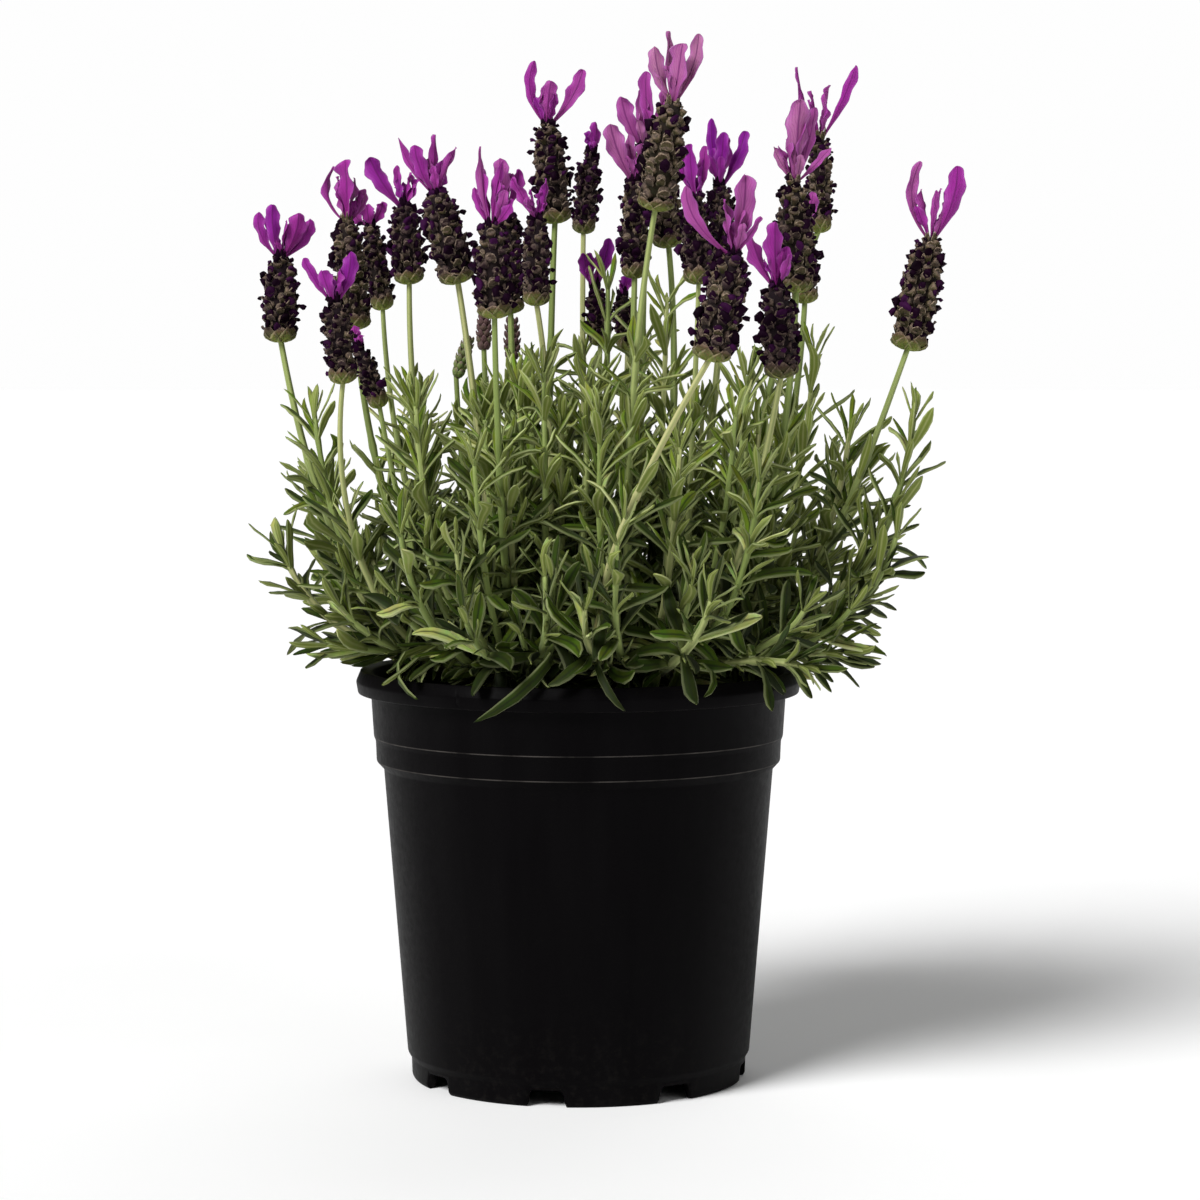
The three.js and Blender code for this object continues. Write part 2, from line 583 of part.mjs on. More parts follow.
for (const bud of buds) {
  const { bottom, top } = headAxis(bud);
  occupy([bottom, top], bud.wide / 2, "bud");
}
for (const { foot } of branches) {
  occupy([new THREE.Vector3(...foot, soilCrown), new THREE.Vector3(...foot, trunkTop)], trunkRadius, "trunk");
}

const shoots = listShoots();
for (const shoot of shoots) {
  const points = [];
  for (let i = 0; i <= 12; i += 1) points.push(shoot.curve.getPoint(i / 12));
  occupy(points, shootFoot, "shoot" + shoot.number);
}

branches.forEach((branch, on) => {
  const solids = [solidOf(makeTrunk(branch))];
  for (const shoot of shoots.filter((each) => each.on === on)) {
    solids.push(solidOf(makeShoot(shoot)));
    for (const leaf of shootLeaves(shoot)) solids.push(solidOf(leaf));
  }
  for (const bud of buds.filter((each) => each.on === on)) solids.push(solidOf(makeBud(bud)));
  lavender.add(meshOf(joined(solids), branch.name, colours.leaf, 0.75));
});

export default lavender;
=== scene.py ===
# French lavender in flower, in a black moulded nursery pot.
# Metres, Z up, X to the right and Y away from the camera, origin in the middle of the pot's underside.
# Every piece is drawn in millimetres and scaled down when it is finished.

import math

import bmesh
import bpy
from mathutils import Matrix, Vector, noise


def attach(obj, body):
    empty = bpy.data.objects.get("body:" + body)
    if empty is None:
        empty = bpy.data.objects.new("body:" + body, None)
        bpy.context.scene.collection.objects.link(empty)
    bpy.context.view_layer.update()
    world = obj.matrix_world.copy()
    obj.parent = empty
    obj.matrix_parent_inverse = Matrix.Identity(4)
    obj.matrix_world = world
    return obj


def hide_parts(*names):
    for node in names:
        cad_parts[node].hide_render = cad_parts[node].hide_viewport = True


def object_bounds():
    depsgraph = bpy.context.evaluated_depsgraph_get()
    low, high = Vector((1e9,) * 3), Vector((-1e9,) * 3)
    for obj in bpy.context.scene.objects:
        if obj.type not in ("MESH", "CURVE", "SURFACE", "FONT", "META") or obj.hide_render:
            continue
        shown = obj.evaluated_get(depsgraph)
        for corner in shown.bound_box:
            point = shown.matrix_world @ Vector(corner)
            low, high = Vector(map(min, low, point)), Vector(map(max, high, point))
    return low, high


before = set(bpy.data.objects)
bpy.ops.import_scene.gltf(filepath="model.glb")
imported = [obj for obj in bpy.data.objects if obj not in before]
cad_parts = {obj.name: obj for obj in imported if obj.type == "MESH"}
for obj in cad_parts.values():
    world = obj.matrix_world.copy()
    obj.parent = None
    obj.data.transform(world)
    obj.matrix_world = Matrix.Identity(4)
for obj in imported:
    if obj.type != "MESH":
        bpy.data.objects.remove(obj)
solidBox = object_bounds()

# The photograph's view: a long lens at the height of the leaves, looking a little down
view = {"place": (0.008, -1.3, 0.2665), "lens": 105.3, "sensor": 36, "downwards": 3.91}


def makeCamera():
    lens = bpy.data.cameras.new("camera")
    lens.lens = view["lens"]
    lens.sensor_width = view["sensor"]
    lens.clip_start = 0.05
    lens.clip_end = 100
    camera = bpy.data.objects.new("camera", lens)
    camera.location = view["place"]
    camera.rotation_euler = (math.radians(90 - view["downwards"]), 0, 0)
    bpy.context.scene.collection.objects.link(camera)
    bpy.context.scene.camera = camera


makeCamera()


# A steady random number from 0 to 1 for each set of three keys
def chance(a, b, c):
    wave = math.sin(a * 12.9898 + b * 78.233 + c * 37.719) * 43758.5453
    return wave - math.floor(wave)


# A number spread evenly round zero
def jitter(a, b, c, size):
    return (chance(a, b, c) * 2 - 1) * size


def mix(a, b, share):
    return a + (b - a) * share


def smoothStep(value, low, high):
    share = min(max((value - low) / (high - low), 0), 1)
    return share * share * (3 - 2 * share)


# The value at t on a list of (t, value) stops
def between(stops, t):
    for (low, a), (high, b) in zip(stops, stops[1:]):
        if t <= high:
            return mix(a, b, (t - low) / (high - low))
    return stops[-1][1]


# Materials

def toLinear(code):
    parts = [int(code[i:i + 2], 16) / 255 for i in (1, 3, 5)]
    return (*[p / 12.92 if p <= 0.04045 else ((p + 0.055) / 1.055) ** 2.4 for p in parts], 1)


# The scale of a pattern that repeats at a real spacing in millimetres
def every(spacing):
    return 1000 / spacing


# A node's input or output by its name or number, of those that its settings leave in use
def socketOf(sockets, key=0):
    used = [each for each in sockets if each.enabled]
    return used[key] if isinstance(key, int) else next(each for each in used if each.name == key)


# Links a node's input to a socket, or to the first output of another node
def link(tree, source, node, key):
    if isinstance(source, bpy.types.Node):
        source = socketOf(source.outputs)
    tree.links.new(source, socketOf(node.inputs, key))


# Adds a node; settings are its own values or its inputs' values, links are what its inputs read
def addNode(tree, kind, settings=None, links=None):
    node = tree.nodes.new("ShaderNode" + kind)
    for name, value in (settings or {}).items():
        if name == "stops":
            ramp = node.color_ramp.elements
            ramp[0].position, ramp[-1].position = value[0][0], value[-1][0]
            for position, _ in value[1:-1]:
                ramp.new(position)
            for stop, (_, colour) in zip(ramp, value):
                stop.color = toLinear(colour)
        elif isinstance(name, int) or name[0].isupper():
            value = toLinear(value) if isinstance(value, str) else value
            socketOf(node.inputs, name).default_value = value
        else:
            setattr(node, name, value)
    for key, source in (links or {}).items():
        link(tree, source, node, key)
    return node


# A material with its surface shader, which takes the constants, and the sockets that its pattern reads:
# the place on the object, and the marks by these names that the drawing leaves on its corners
def startMaterial(name, settings, *names):
    material = bpy.data.materials.new(name)
    material.use_nodes = True
    tree = material.node_tree
    tree.nodes.clear()
    shader = addNode(tree, "BsdfPrincipled", settings)
    addNode(tree, "OutputMaterial", None, {"Surface": shader})
    place = addNode(tree, "TexCoord").outputs["Object"]
    read = [addNode(tree, "Attribute", {"attribute_name": each}).outputs["Fac"] for each in names]
    return material, tree, shader, place, *read


# Heights of the pale lines on the lower edges of the rim and of the two bands, in metres
paleLineHeights = (0.1186, 0.1276, 0.1436)


# Polypropylene, injection moulded: satin black, blotchy where the mould released, dusty near the foot
def makePotPlastic():
    material, tree, shader, place = startMaterial("polypropylene_moulded", {
        "IOR": 1.49, "Specular IOR Level": 0.03})
    # the melt's flow shows as soft upright streaks, about 14 mm wide
    flow = addNode(tree, "Mapping", {"Scale": (every(14.3), every(14.3), every(111))}, {"Vector": place})
    streaks = addNode(tree, "TexNoise", {"Scale": 1, "Detail": 4, "Roughness": 0.55}, {"Vector": flow})
    black = addNode(tree, "ValToRGB", {"stops": [(0.3, "#040304"), (0.75, "#080708")]}, {"Fac": streaks})
    # scuffs of about 3 mm, with dust in them on the lowest 40 mm
    scuffs = addNode(tree, "TexNoise", {"Scale": every(2.94), "Detail": 5, "Roughness": 0.7},
                     {"Vector": place})
    height = addNode(tree, "SeparateXYZ", None, {"Vector": place}).outputs["Z"]
    low = addNode(tree, "MapRange", {"From Min": 0.04, "From Max": 0, "To Max": 0.15}, {"Value": height})
    speck = addNode(tree, "MapRange", {"From Min": 0.5, "From Max": 0.78}, {"Value": scuffs})
    dust = addNode(tree, "Math", {"operation": "MULTIPLY"}, {0: low, 1: speck})
    dusty = addNode(tree, "Mix", {"data_type": "RGBA", "B": "#3b3834"}, {"Factor": dust, "A": black})
    # the pale lines are 0.4 mm wide and fade in and out
    lines = [addNode(tree, "Math", {"operation": "COMPARE", 1: line, 2: 0.0002}, {0: height})
             for line in paleLineHeights]
    two = addNode(tree, "Math", {"operation": "ADD"}, {0: lines[0], 1: lines[1]})
    paleShare = addNode(tree, "Math", {"operation": "ADD"}, {0: two, 1: lines[2]})
    lineFade = addNode(tree, "MapRange", {"From Min": 0.35, "From Max": 0.65, "To Min": 0.1, "To Max": 0.6},
                     {"Value": streaks})
    paleLineMask = addNode(tree, "Math", {"operation": "MULTIPLY"}, {0: paleShare, 1: lineFade})
    edged = addNode(tree, "Mix", {"data_type": "RGBA", "B": "#5a5652"}, {"Factor": paleLineMask, "A": dusty})
    satin = addNode(tree, "MapRange", {"From Min": 0.3, "From Max": 0.75, "To Min": 0.4, "To Max": 0.54},
                    {"Value": scuffs})
    link(tree, satin, shader, "Roughness")
    # the mould's etched grain
    grain = addNode(tree, "TexNoise", {"Scale": every(0.8), "Detail": 2}, {"Vector": place})
    link(tree, edged, shader, "Base Color")
    relief = addNode(tree, "Bump", {"Strength": 0.25, "Distance": 0.00012}, {"Height": grain})
    link(tree, relief, shader, "Normal")
    return material


# Peat compost with bark crumbs: almost black where it is damp, brown on the crumbs
def makeCompost():
    material, tree, shader, place = startMaterial("peat_compost", {
        "Roughness": 0.95, "Specular IOR Level": 0.2})
    crumbs = addNode(tree, "TexNoise", {"Scale": every(2.38), "Detail": 8, "Roughness": 0.7},
                     {"Vector": place})
    brown = addNode(tree, "ValToRGB", {"stops": [(0.35, "#0b0806"), (0.55, "#1d1611"), (0.75, "#3f3022")]},
                    {"Fac": crumbs})
    link(tree, brown, shader, "Base Color")
    relief = addNode(tree, "Bump", {"Strength": 0.9, "Distance": 0.001}, {"Height": crumbs})
    link(tree, relief, shader, "Normal")
    return material


# Leaf, covered in fine down: green, with painted shade darkening the groove above, pale on its rolled
# margins and below
def makeLeafSkin():
    material, tree, shader, place, tone, across, under, along = startMaterial("downy_leaf", {
        "Roughness": 0.6, "IOR": 1.45, "Specular IOR Level": 0.15, "Sheen Weight": 0.02,
        "Sheen Roughness": 0.5}, "tone", "across", "under", "along")
    # the green by tone; low leaves take its dark end, partly as painted shade
    stops = [(0, "#131c02"), (0.45, "#3b4d08"), (0.8, "#687b1e"), (1, "#9aa55e")]
    green = addNode(tree, "ValToRGB", {"stops": stops}, {"Fac": tone})
    mottle = addNode(tree, "TexNoise", {"Scale": every(5), "Detail": 3}, {"Vector": place})
    mottled = addNode(tree, "Mix", {"data_type": "RGBA", "blend_type": "OVERLAY", "Factor": 0.45},
                      {"A": green, "B": mottle.outputs["Color"]})
    back = addNode(tree, "MapRange", {"From Min": 0.52, "From Max": 0.7}, {"Value": under})
    share = addNode(tree, "Math", {"operation": "MULTIPLY", 1: 0.75}, {0: back})
    backed = addNode(tree, "Mix", {"data_type": "RGBA", "B": "#828f44"}, {"Factor": share, "A": mottled})
    # the midrib is a groove above, darkened with painted shade, and a pale keel below
    fromMiddle = addNode(tree, "Math", {"operation": "ABSOLUTE"}, {0: across})
    midrib = addNode(tree, "Mix", {"data_type": "RGBA", "A": "#18200a", "B": "#a2a86a"}, {"Factor": back})
    grooveShade = addNode(tree, "MapRange", {"From Min": 0.3, "From Max": 0.05, "To Max": 0.8},
                     {"Value": fromMiddle})
    grooved = addNode(tree, "Mix", {"data_type": "RGBA"}, {"Factor": grooveShade, "A": backed, "B": midrib})
    margin = addNode(tree, "MapRange", {"From Min": 0.7, "From Max": 0.95, "To Max": 0.8},
                     {"Value": fromMiddle})
    # margins are less pale on leaves of low tone, so the low leaves keep their painted shade
    young = addNode(tree, "MapRange", {"To Min": 0.15, "To Max": 1}, {"Value": tone})
    pale = addNode(tree, "Math", {"operation": "MULTIPLY"}, {0: margin, 1: young})
    edged = addNode(tree, "Mix", {"data_type": "RGBA", "B": "#c8cf98"}, {"Factor": pale, "A": grooved})
    foot = addNode(tree, "MapRange", {"From Min": 0.25, "From Max": 0, "To Max": 0.6}, {"Value": along})
    footed = addNode(tree, "Mix", {"data_type": "RGBA", "B": "#93a05c"}, {"Factor": foot, "A": edged})
    # single hairs are far too fine to show, so the down is drawn 0.5 mm coarse
    down = addNode(tree, "TexNoise", {"Scale": every(0.5), "Detail": 3, "Roughness": 0.7}, {"Vector": place})
    link(tree, footed, shader, "Base Color")
    relief = addNode(tree, "Bump", {"Strength": 0.35, "Distance": 0.0001}, {"Height": down})
    link(tree, relief, shader, "Normal")
    return material


# Square stem: yellow green and downy on the ridges, brown and woody at its foot
def makeStemSkin():
    material, tree, shader, place, tone, wood, ridge = startMaterial("square_stem", {
        "Roughness": 0.6, "IOR": 1.45, "Specular IOR Level": 0.35, "Sheen Weight": 0.1},
        "tone", "wood", "ridge")
    green = addNode(tree, "ValToRGB", {"stops": [(0, "#7c8c48"), (0.5, "#93a25c"), (1, "#b2b07a")]},
                    {"Fac": tone})
    flank = addNode(tree, "MapRange", {"From Min": 0.75, "From Max": 0, "To Max": 0.6}, {"Value": ridge})
    flanked = addNode(tree, "Mix", {"data_type": "RGBA", "B": "#6d8040"}, {"Factor": flank, "A": green})
    # fibres run up the wood, 1 mm apart
    grain = addNode(tree, "Mapping", {"Scale": (every(1), every(1), every(8.33))}, {"Vector": place})
    fibres = addNode(tree, "TexNoise", {"Scale": 1, "Detail": 4, "Roughness": 0.6}, {"Vector": grain})
    bark = addNode(tree, "ValToRGB", {"stops": [(0.3, "#3b2a1c"), (0.7, "#75583c")]}, {"Fac": fibres})
    skin = addNode(tree, "Mix", {"data_type": "RGBA"}, {"Factor": wood, "A": flanked, "B": bark})
    link(tree, skin, shader, "Base Color")
    relief = addNode(tree, "Bump", {"Strength": 0.3, "Distance": 0.00015}, {"Height": fibres})
    link(tree, relief, shader, "Normal")
    return material


# Felt on the parts of spikes and buds: its colours from foot to tip, how much paler its rim is, and
# the colour that darker heads take
feltColours = {
    "calyx_felt": {"stops": ["#33340e", "#3a3416", "#665642", "#1a0914"], "rim": 0.3, "dark": "#220a1b"},
    "scale_felt": {"stops": ["#31330c", "#363113", "#382a18", "#463428"], "rim": 0.9, "dark": "#220a1b"},
    "cup_felt": {"stops": ["#8c9a3c", "#646830", "#483622", "#3a2620"], "rim": 0.4, "dark": "#220a1b"},
    # the core is almost black: painted shade for the gaps between the calyces
    "core_felt": {"stops": ["#2a2614", "#272014", "#1f1712", "#1f1712"], "rim": 0, "dark": "#14060f"},
    "bud_felt": {"stops": ["#70833f", "#7b8a52", "#8c8270", "#8c8270"], "rim": 0.3, "dark": "#5c3a46"},
}


# Felt of short hairs on calyces and scales: dull, pale where it stands up on ribs and rims
def makeFelt(name, colours):
    material, tree, shader, place, tone, along, across = startMaterial(name, {
        "Roughness": 0.8, "Specular IOR Level": 0.15, "Sheen Weight": 0.04, "Sheen Roughness": 0.5},
        "tone", "along", "across")
    rise = addNode(tree, "ValToRGB", {"stops": list(zip((0.1, 0.6, 0.86, 0.97), colours["stops"]))},
                   {"Fac": along})
    # tufts of hair, drawn about 0.7 mm apart
    tufts = addNode(tree, "TexNoise", {"Scale": every(0.714), "Detail": 4, "Roughness": 0.7},
                    {"Vector": place})
    tufty = addNode(tree, "Mix", {"data_type": "RGBA", "blend_type": "OVERLAY", "Factor": 0.8},
                    {"A": rise, "B": tufts.outputs["Color"]})
    # purple creeps over the felt of the darker heads
    purple = addNode(tree, "MapRange", {"From Min": 0.2, "From Max": 0.65, "To Max": 0.9}, {"Value": tone})
    dark = addNode(tree, "Mix", {"data_type": "RGBA", "B": colours["dark"]}, {"Factor": purple, "A": tufty})
    # hairs stand pale along the rim, and in flecks elsewhere, fewer on the darker heads
    fromMiddle = addNode(tree, "Math", {"operation": "ABSOLUTE"}, {0: across})
    flank = addNode(tree, "MapRange", {"From Min": 0.72, "From Max": 0.93}, {"Value": fromMiddle})
    crest = addNode(tree, "MapRange", {"From Min": 0.8, "From Max": 0.92}, {"Value": along})
    rim = addNode(tree, "Math", {"operation": "MAXIMUM"}, {0: flank, 1: crest})
    flecked = addNode(tree, "Math", {"operation": "MAXIMUM", 1: 0.12}, {0: rim})
    patchy = addNode(tree, "MapRange", {"From Min": 0.36, "From Max": 0.56, "To Max": colours["rim"]},
                     {"Value": tufts})
    pale = addNode(tree, "Math", {"operation": "MULTIPLY"}, {0: flecked, 1: patchy})
    paleShare = addNode(tree, "MapRange", {"From Min": 0.2, "From Max": 0.75, "To Min": 1, "To Max": 0.5},
                   {"Value": tone})
    left = addNode(tree, "Math", {"operation": "MULTIPLY"}, {0: pale, 1: paleShare})
    rimmed = addNode(tree, "Mix", {"data_type": "RGBA", "B": "#b7a28c"}, {"Factor": left, "A": dark})
    link(tree, rimmed, shader, "Base Color")
    relief = addNode(tree, "Bump", {"Strength": 0.8, "Distance": 0.0004}, {"Height": tufts})
    link(tree, relief, shader, "Normal")
    return material


# Floret: a velvety corolla, almost black, violet where light grazes it
def makeFloretVelvet():
    material, tree, shader, _, tone = startMaterial("floret_velvet", {
        "Roughness": 0.6, "Specular IOR Level": 0.03, "Sheen Weight": 0.01, "Sheen Roughness": 0.4,
        "Sheen Tint": "#7a3a86"}, "tone")
    dark = addNode(tree, "ValToRGB", {"stops": [(0, "#0c020a"), (0.6, "#1b061a"), (1, "#371239")]},
                   {"Fac": tone})
    link(tree, dark, shader, "Base Color")
    return material


# Bract: thin as tissue, violet, with a darker midrib and branching veins, paler towards its rim
def makeBractTissue():
    material, tree, shader, place, tone, across, along = startMaterial("bract_tissue", {
        "Roughness": 0.5, "IOR": 1.4, "Specular IOR Level": 0.2, "Subsurface Weight": 0.25,
        "Subsurface Radius": (0.003, 0.001, 0.003), "Subsurface Scale": 0.5}, "tone", "across", "along")
    stops = [(0, "#7b128a"), (0.35, "#922888"), (0.7, "#9c4c8c"), (1, "#a96b93")]
    violet = addNode(tree, "ValToRGB", {"stops": stops}, {"Fac": tone})
    foot = addNode(tree, "MapRange", {"From Min": 0.5, "From Max": 0, "To Max": 0.7}, {"Value": along})
    footed = addNode(tree, "Mix", {"data_type": "RGBA", "B": "#6a1452"}, {"Factor": foot, "A": violet})
    fromMiddle = addNode(tree, "Math", {"operation": "ABSOLUTE"}, {0: across})
    rim = addNode(tree, "MapRange", {"From Min": 0.45, "From Max": 1, "To Max": 0.4}, {"Value": fromMiddle})
    rimmed = addNode(tree, "Mix", {"data_type": "RGBA", "B": "#a658a8"}, {"Factor": rim, "A": footed})
    # side veins leave the midrib at a steep slant, some 0.8 mm apart, and waver about every 2.4 mm
    slant = addNode(tree, "Math", {"operation": "MULTIPLY_ADD", 1: -0.6}, {0: fromMiddle, 2: along})
    wave = addNode(tree, "Math", {"operation": "MULTIPLY", 1: 42}, {0: slant})
    warp = addNode(tree, "TexNoise", {"Scale": every(2.38), "Detail": 2}, {"Vector": place})
    warped = addNode(tree, "Math", {"operation": "MULTIPLY_ADD", 1: 7}, {0: warp, 2: wave})
    lines = addNode(tree, "Math", {"operation": "SINE"}, {0: warped})
    veins = addNode(tree, "MapRange", {"From Min": 0.5, "From Max": 1, "To Max": 0.26}, {"Value": lines})
    midrib = addNode(tree, "MapRange", {"From Min": 0.16, "From Max": 0.02, "To Max": 0.75},
                     {"Value": fromMiddle})
    ribs = addNode(tree, "Math", {"operation": "MAXIMUM"}, {0: veins, 1: midrib})
    veined = addNode(tree, "Mix", {"data_type": "RGBA", "B": "#5c1458"}, {"Factor": ribs, "A": rimmed})
    link(tree, veined, shader, "Base Color")
    relief = addNode(tree, "Bump", {"Strength": 0.5, "Distance": 0.0003}, {"Height": ribs})
    link(tree, relief, shader, "Normal")
    return material


# Painted board: matt and near white, so that it shows nothing but a soft shadow
def makeFloorPaint():
    material, tree, shader, place = startMaterial("matt_painted_board", {
        "Roughness": 0.9, "Specular IOR Level": 0.1})
    cloud = addNode(tree, "TexNoise", {"Scale": every(167), "Detail": 2}, {"Vector": place})
    white = addNode(tree, "ValToRGB", {"stops": [(0.3, "#fbfbfb"), (0.7, "#fdfdfd")]}, {"Fac": cloud})
    link(tree, white, shader, "Base Color")
    return material


potPlastic = makePotPlastic()
compost = makeCompost()
leafSkin = makeLeafSkin()
stemSkin = makeStemSkin()
felt = {name: makeFelt(name, colours) for name, colours in feltColours.items()}
floretVelvet = makeFloretVelvet()
bractTissue = makeBractTissue()
print("materials ready")


# Drawing and finishing

marks = ("along", "across", "under", "tone", "wood", "ridge")


def startMesh():
    bm = bmesh.new()
    for name in marks:
        bm.verts.layers.float.new(name)
    return bm


# Adds a small drawing to a large one: an operator takes longer the more its drawing holds
def gather(bm, part):
    sheet = bpy.data.meshes.new("part")
    part.to_mesh(sheet)
    part.free()
    bm.from_mesh(sheet)
    bpy.data.meshes.remove(sheet)


# Scales a drawing to metres and makes it a piece of the frame
def finishPiece(bm, name, slot, node, *materials):
    bmesh.ops.scale(bm, vec=(0.001, 0.001, 0.001), verts=bm.verts)
    for face in bm.faces:
        face.smooth = True
    mesh = bpy.data.meshes.new(name)
    bm.to_mesh(mesh)
    bm.free()
    for material in materials:
        mesh.materials.append(material)
    piece = bpy.data.objects.new(name, mesh)
    bpy.context.scene.collection.objects.link(piece)
    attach(piece, "root")
    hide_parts(node)
    return piece


# Turns an outline of (radius, height) points into a closed body
def turnOutline(bm, outline, turns):
    profile = [bm.verts.new((radius, 0, height)) for radius, height in outline]
    line = [bm.edges.new(pair) for pair in zip(profile, profile[1:])]
    bmesh.ops.spin(bm, geom=profile + line, cent=(0, 0, 0), axis=(0, 0, 1), angle=math.tau, steps=turns,
                   use_merge=True)
    bmesh.ops.remove_doubles(bm, verts=bm.verts, dist=0.001)
    bmesh.ops.recalc_face_normals(bm, faces=bm.faces)


def bezier(points, t):
    while len(points) > 1:
        points = [a.lerp(b, t) for a, b in zip(points, points[1:])]
    return points[0]


def bezierHeading(points, t):
    return bezier([b - a for a, b in zip(points, points[1:])], t).normalized()


balls = {}


# A ball of so many sides and rings, made once and then copied
def ballOf(sides, rings):
    if (sides, rings) not in balls:
        bm = startMesh()
        bmesh.ops.create_uvsphere(bm, u_segments=sides, v_segments=rings, radius=1)
        balls[sides, rings] = bpy.data.meshes.new("ball")
        bm.to_mesh(balls[sides, rings])
        bm.free()
    return balls[sides, rings]


# Draws a ball out along a curve. Each ring of the ball goes to its place on the curve, and
# section(t, angle) gives how far a corner lies to the side and to the front of it.
def growAlong(bm, points, side, sides, rings, section, even=False, twist=0, material=0, tone=0.5, wood=None):
    layers = [bm.verts.layers.float[name] for name in marks]
    frames = {}
    first = len(bm.verts)
    bm.from_mesh(ballOf(sides, rings))
    bm.verts.ensure_lookup_table()
    for corner in bm.verts[first:]:
        x, y, z = corner.co
        key = round(z, 4)
        if key not in frames:
            t = (1 + z) / 2
            if even:
                t = 1 - math.acos(min(max(z, -1), 1)) / math.pi
                t = min(max((t * rings - 1) / (rings - 2), 0), 1)
            heading = bezierHeading(points, t)
            right = (side - heading * side.dot(heading)).normalized()
            if twist:
                right.rotate(Matrix.Rotation(twist * t, 3, heading))
            frames[key] = (t, bezier(points, t), right, heading.cross(right))
        t, spot, right, front = frames[key]
        angle = math.atan2(y, x)
        wide, deep = section(t, angle) if math.hypot(x, y) > 1e-4 else (0, 0)
        corner.co = spot + right * wide + front * deep
        flare = 0 if abs(z) > 0.9999 else 1
        values = (t, math.cos(angle) * flare, 0.5 - math.sin(angle) * 0.5, tone,
                  wood(t) if wood else 0, abs(math.cos(2 * angle)))
        for layer, value in zip(layers, values):
            corner[layer] = value
        if material:
            for face in corner.link_faces:
                face.material_index = material


# Pot

pot = {
    # points of radius and height: foot ring, wall with its two bands, neck and rolled rim, then the inside
    "outside": [(0, 0), (12, 0), (13.5, 7), (57.5, 7), (59.6, 0), (61.4, 0), (62.2, 1.2), (62.4, 7.6),
                (63.8, 10), (72.3, 115.6), (75.0, 118.5), (75.3, 126), (76, 127.7), (77, 143.5),
                (81.8, 143.8), (82.5, 148), (80.7, 152.4)],
    "inside": [(76.4, 151.4), (74, 140), (70.5, 115.6), (62, 9.5), (0, 9.5)],
    "turns": 192, "sharp": 14, "edgeRound": 0.45,
    "notches": 8, "firstNotch": 34.5, "notchHigh": 6.2, "notchRound": 1.6, "notchRing": 61, "notchDeep": 14,
    "notchFoot": 15, "notchHead": 12.2,
    "drainRing": 42, "drainRadius": 4,
    "nick": {"turn": -31, "radius": 82.9, "height": 149, "wide": 0.9, "point": 0.3, "long": 7},
}


# Cuts one drawing out of another
def carve(bm, cutter):
    body, tool = bpy.data.meshes.new("body"), bpy.data.meshes.new("tool")
    bm.to_mesh(body)
    cutter.to_mesh(tool)
    cutter.free()
    bodyObject, toolObject = bpy.data.objects.new("body", body), bpy.data.objects.new("tool", tool)
    for each in (bodyObject, toolObject):
        bpy.context.scene.collection.objects.link(each)
    cut = bodyObject.modifiers.new("cut", "BOOLEAN")
    cut.object, cut.operation, cut.solver = toolObject, "DIFFERENCE", "EXACT"
    shown = bodyObject.evaluated_get(bpy.context.evaluated_depsgraph_get()).to_mesh()
    bm.clear()
    bm.from_mesh(shown)
    for each in (bodyObject, toolObject):
        bpy.data.objects.remove(each)


# A notch in the foot ring: a block that narrows upwards, with its two long upper edges rounded
def addNotch(cutter, turn):
    block = bmesh.ops.create_cube(cutter, size=1)["verts"]
    for corner in block:
        high = corner.co.z > 0
        wide = pot["notchHead"] if high else pot["notchFoot"]
        corner.co = (corner.co.x * wide, corner.co.y * pot["notchDeep"] - pot["notchRing"],
                     pot["notchHigh"] if high else -1)
    rims = [edge for edge in {edge for corner in block for edge in corner.link_edges}
            if all(corner.co.z > 0 for corner in edge.verts)
            and abs(edge.verts[0].co.x - edge.verts[1].co.x) < 1]
    rounded = bmesh.ops.bevel(cutter, geom=rims, offset=pot["notchRound"], offset_type="OFFSET",
                              affect="EDGES", segments=4, profile=0.5, material=-1)
    corners = {corner for corner in block if corner.is_valid} | set(rounded["verts"])
    bmesh.ops.transform(cutter, matrix=turn, verts=list(corners))


def makePot():
    bm = bmesh.new()
    turnOutline(bm, pot["outside"] + pot["inside"], pot["turns"])
    sharp = [edge for edge in bm.edges if edge.is_manifold and edge.verts[0].co.xy.length > 20
             and edge.calc_face_angle() > math.radians(pot["sharp"])]
    bmesh.ops.bevel(bm, geom=sharp, offset=pot["edgeRound"], offset_type="OFFSET", affect="EDGES",
                    segments=2, profile=0.5, material=-1, clamp_overlap=True)
    cutter = bmesh.new()
    for i in range(pot["notches"]):
        turn = Matrix.Rotation(math.radians(i * 360 / pot["notches"] + pot["firstNotch"]), 4, "Z")
        addNotch(cutter, turn)
        if i % 2 == 0:
            drain = bmesh.ops.create_cone(cutter, cap_ends=True, segments=32, radius1=pot["drainRadius"],
                                          radius2=pot["drainRadius"], depth=6)["verts"]
            bmesh.ops.translate(cutter, vec=(0, -pot["drainRing"], 8), verts=drain)
            bmesh.ops.transform(cutter, matrix=turn, verts=drain)
    # a nick knocked out of the rim's lip
    nick = pot["nick"]
    chip = bmesh.ops.create_cone(cutter, cap_ends=True, segments=5, radius1=nick["wide"],
                                 radius2=nick["point"], depth=nick["long"])["verts"]
    bmesh.ops.translate(cutter, vec=(0, -nick["radius"], nick["height"]), verts=chip)
    bmesh.ops.rotate(cutter, cent=(0, 0, 0), verts=chip,
                     matrix=Matrix.Rotation(math.radians(nick["turn"]), 3, "Z"))
    carve(bm, cutter)
    return finishPiece(bm, "pot_shell", "pot_plastic", "pot", potPlastic)


makePot()
print("pot ready")


# Soil

soil = {
    "edge": 138, "crown": 144, "radius": 73.4, "wall": [(0, 9.8), (61.6, 9.8), (70.1, 115.6)],
    "turns": 72, "rings": 22, "reach": 70, "crumbs": 260, "crumbSize": (1.2, 3.6),
}


def soilHeight(x, y):
    share = min(math.hypot(x, y) / soil["reach"], 1)
    return mix(soil["crown"], soil["edge"], share * share)


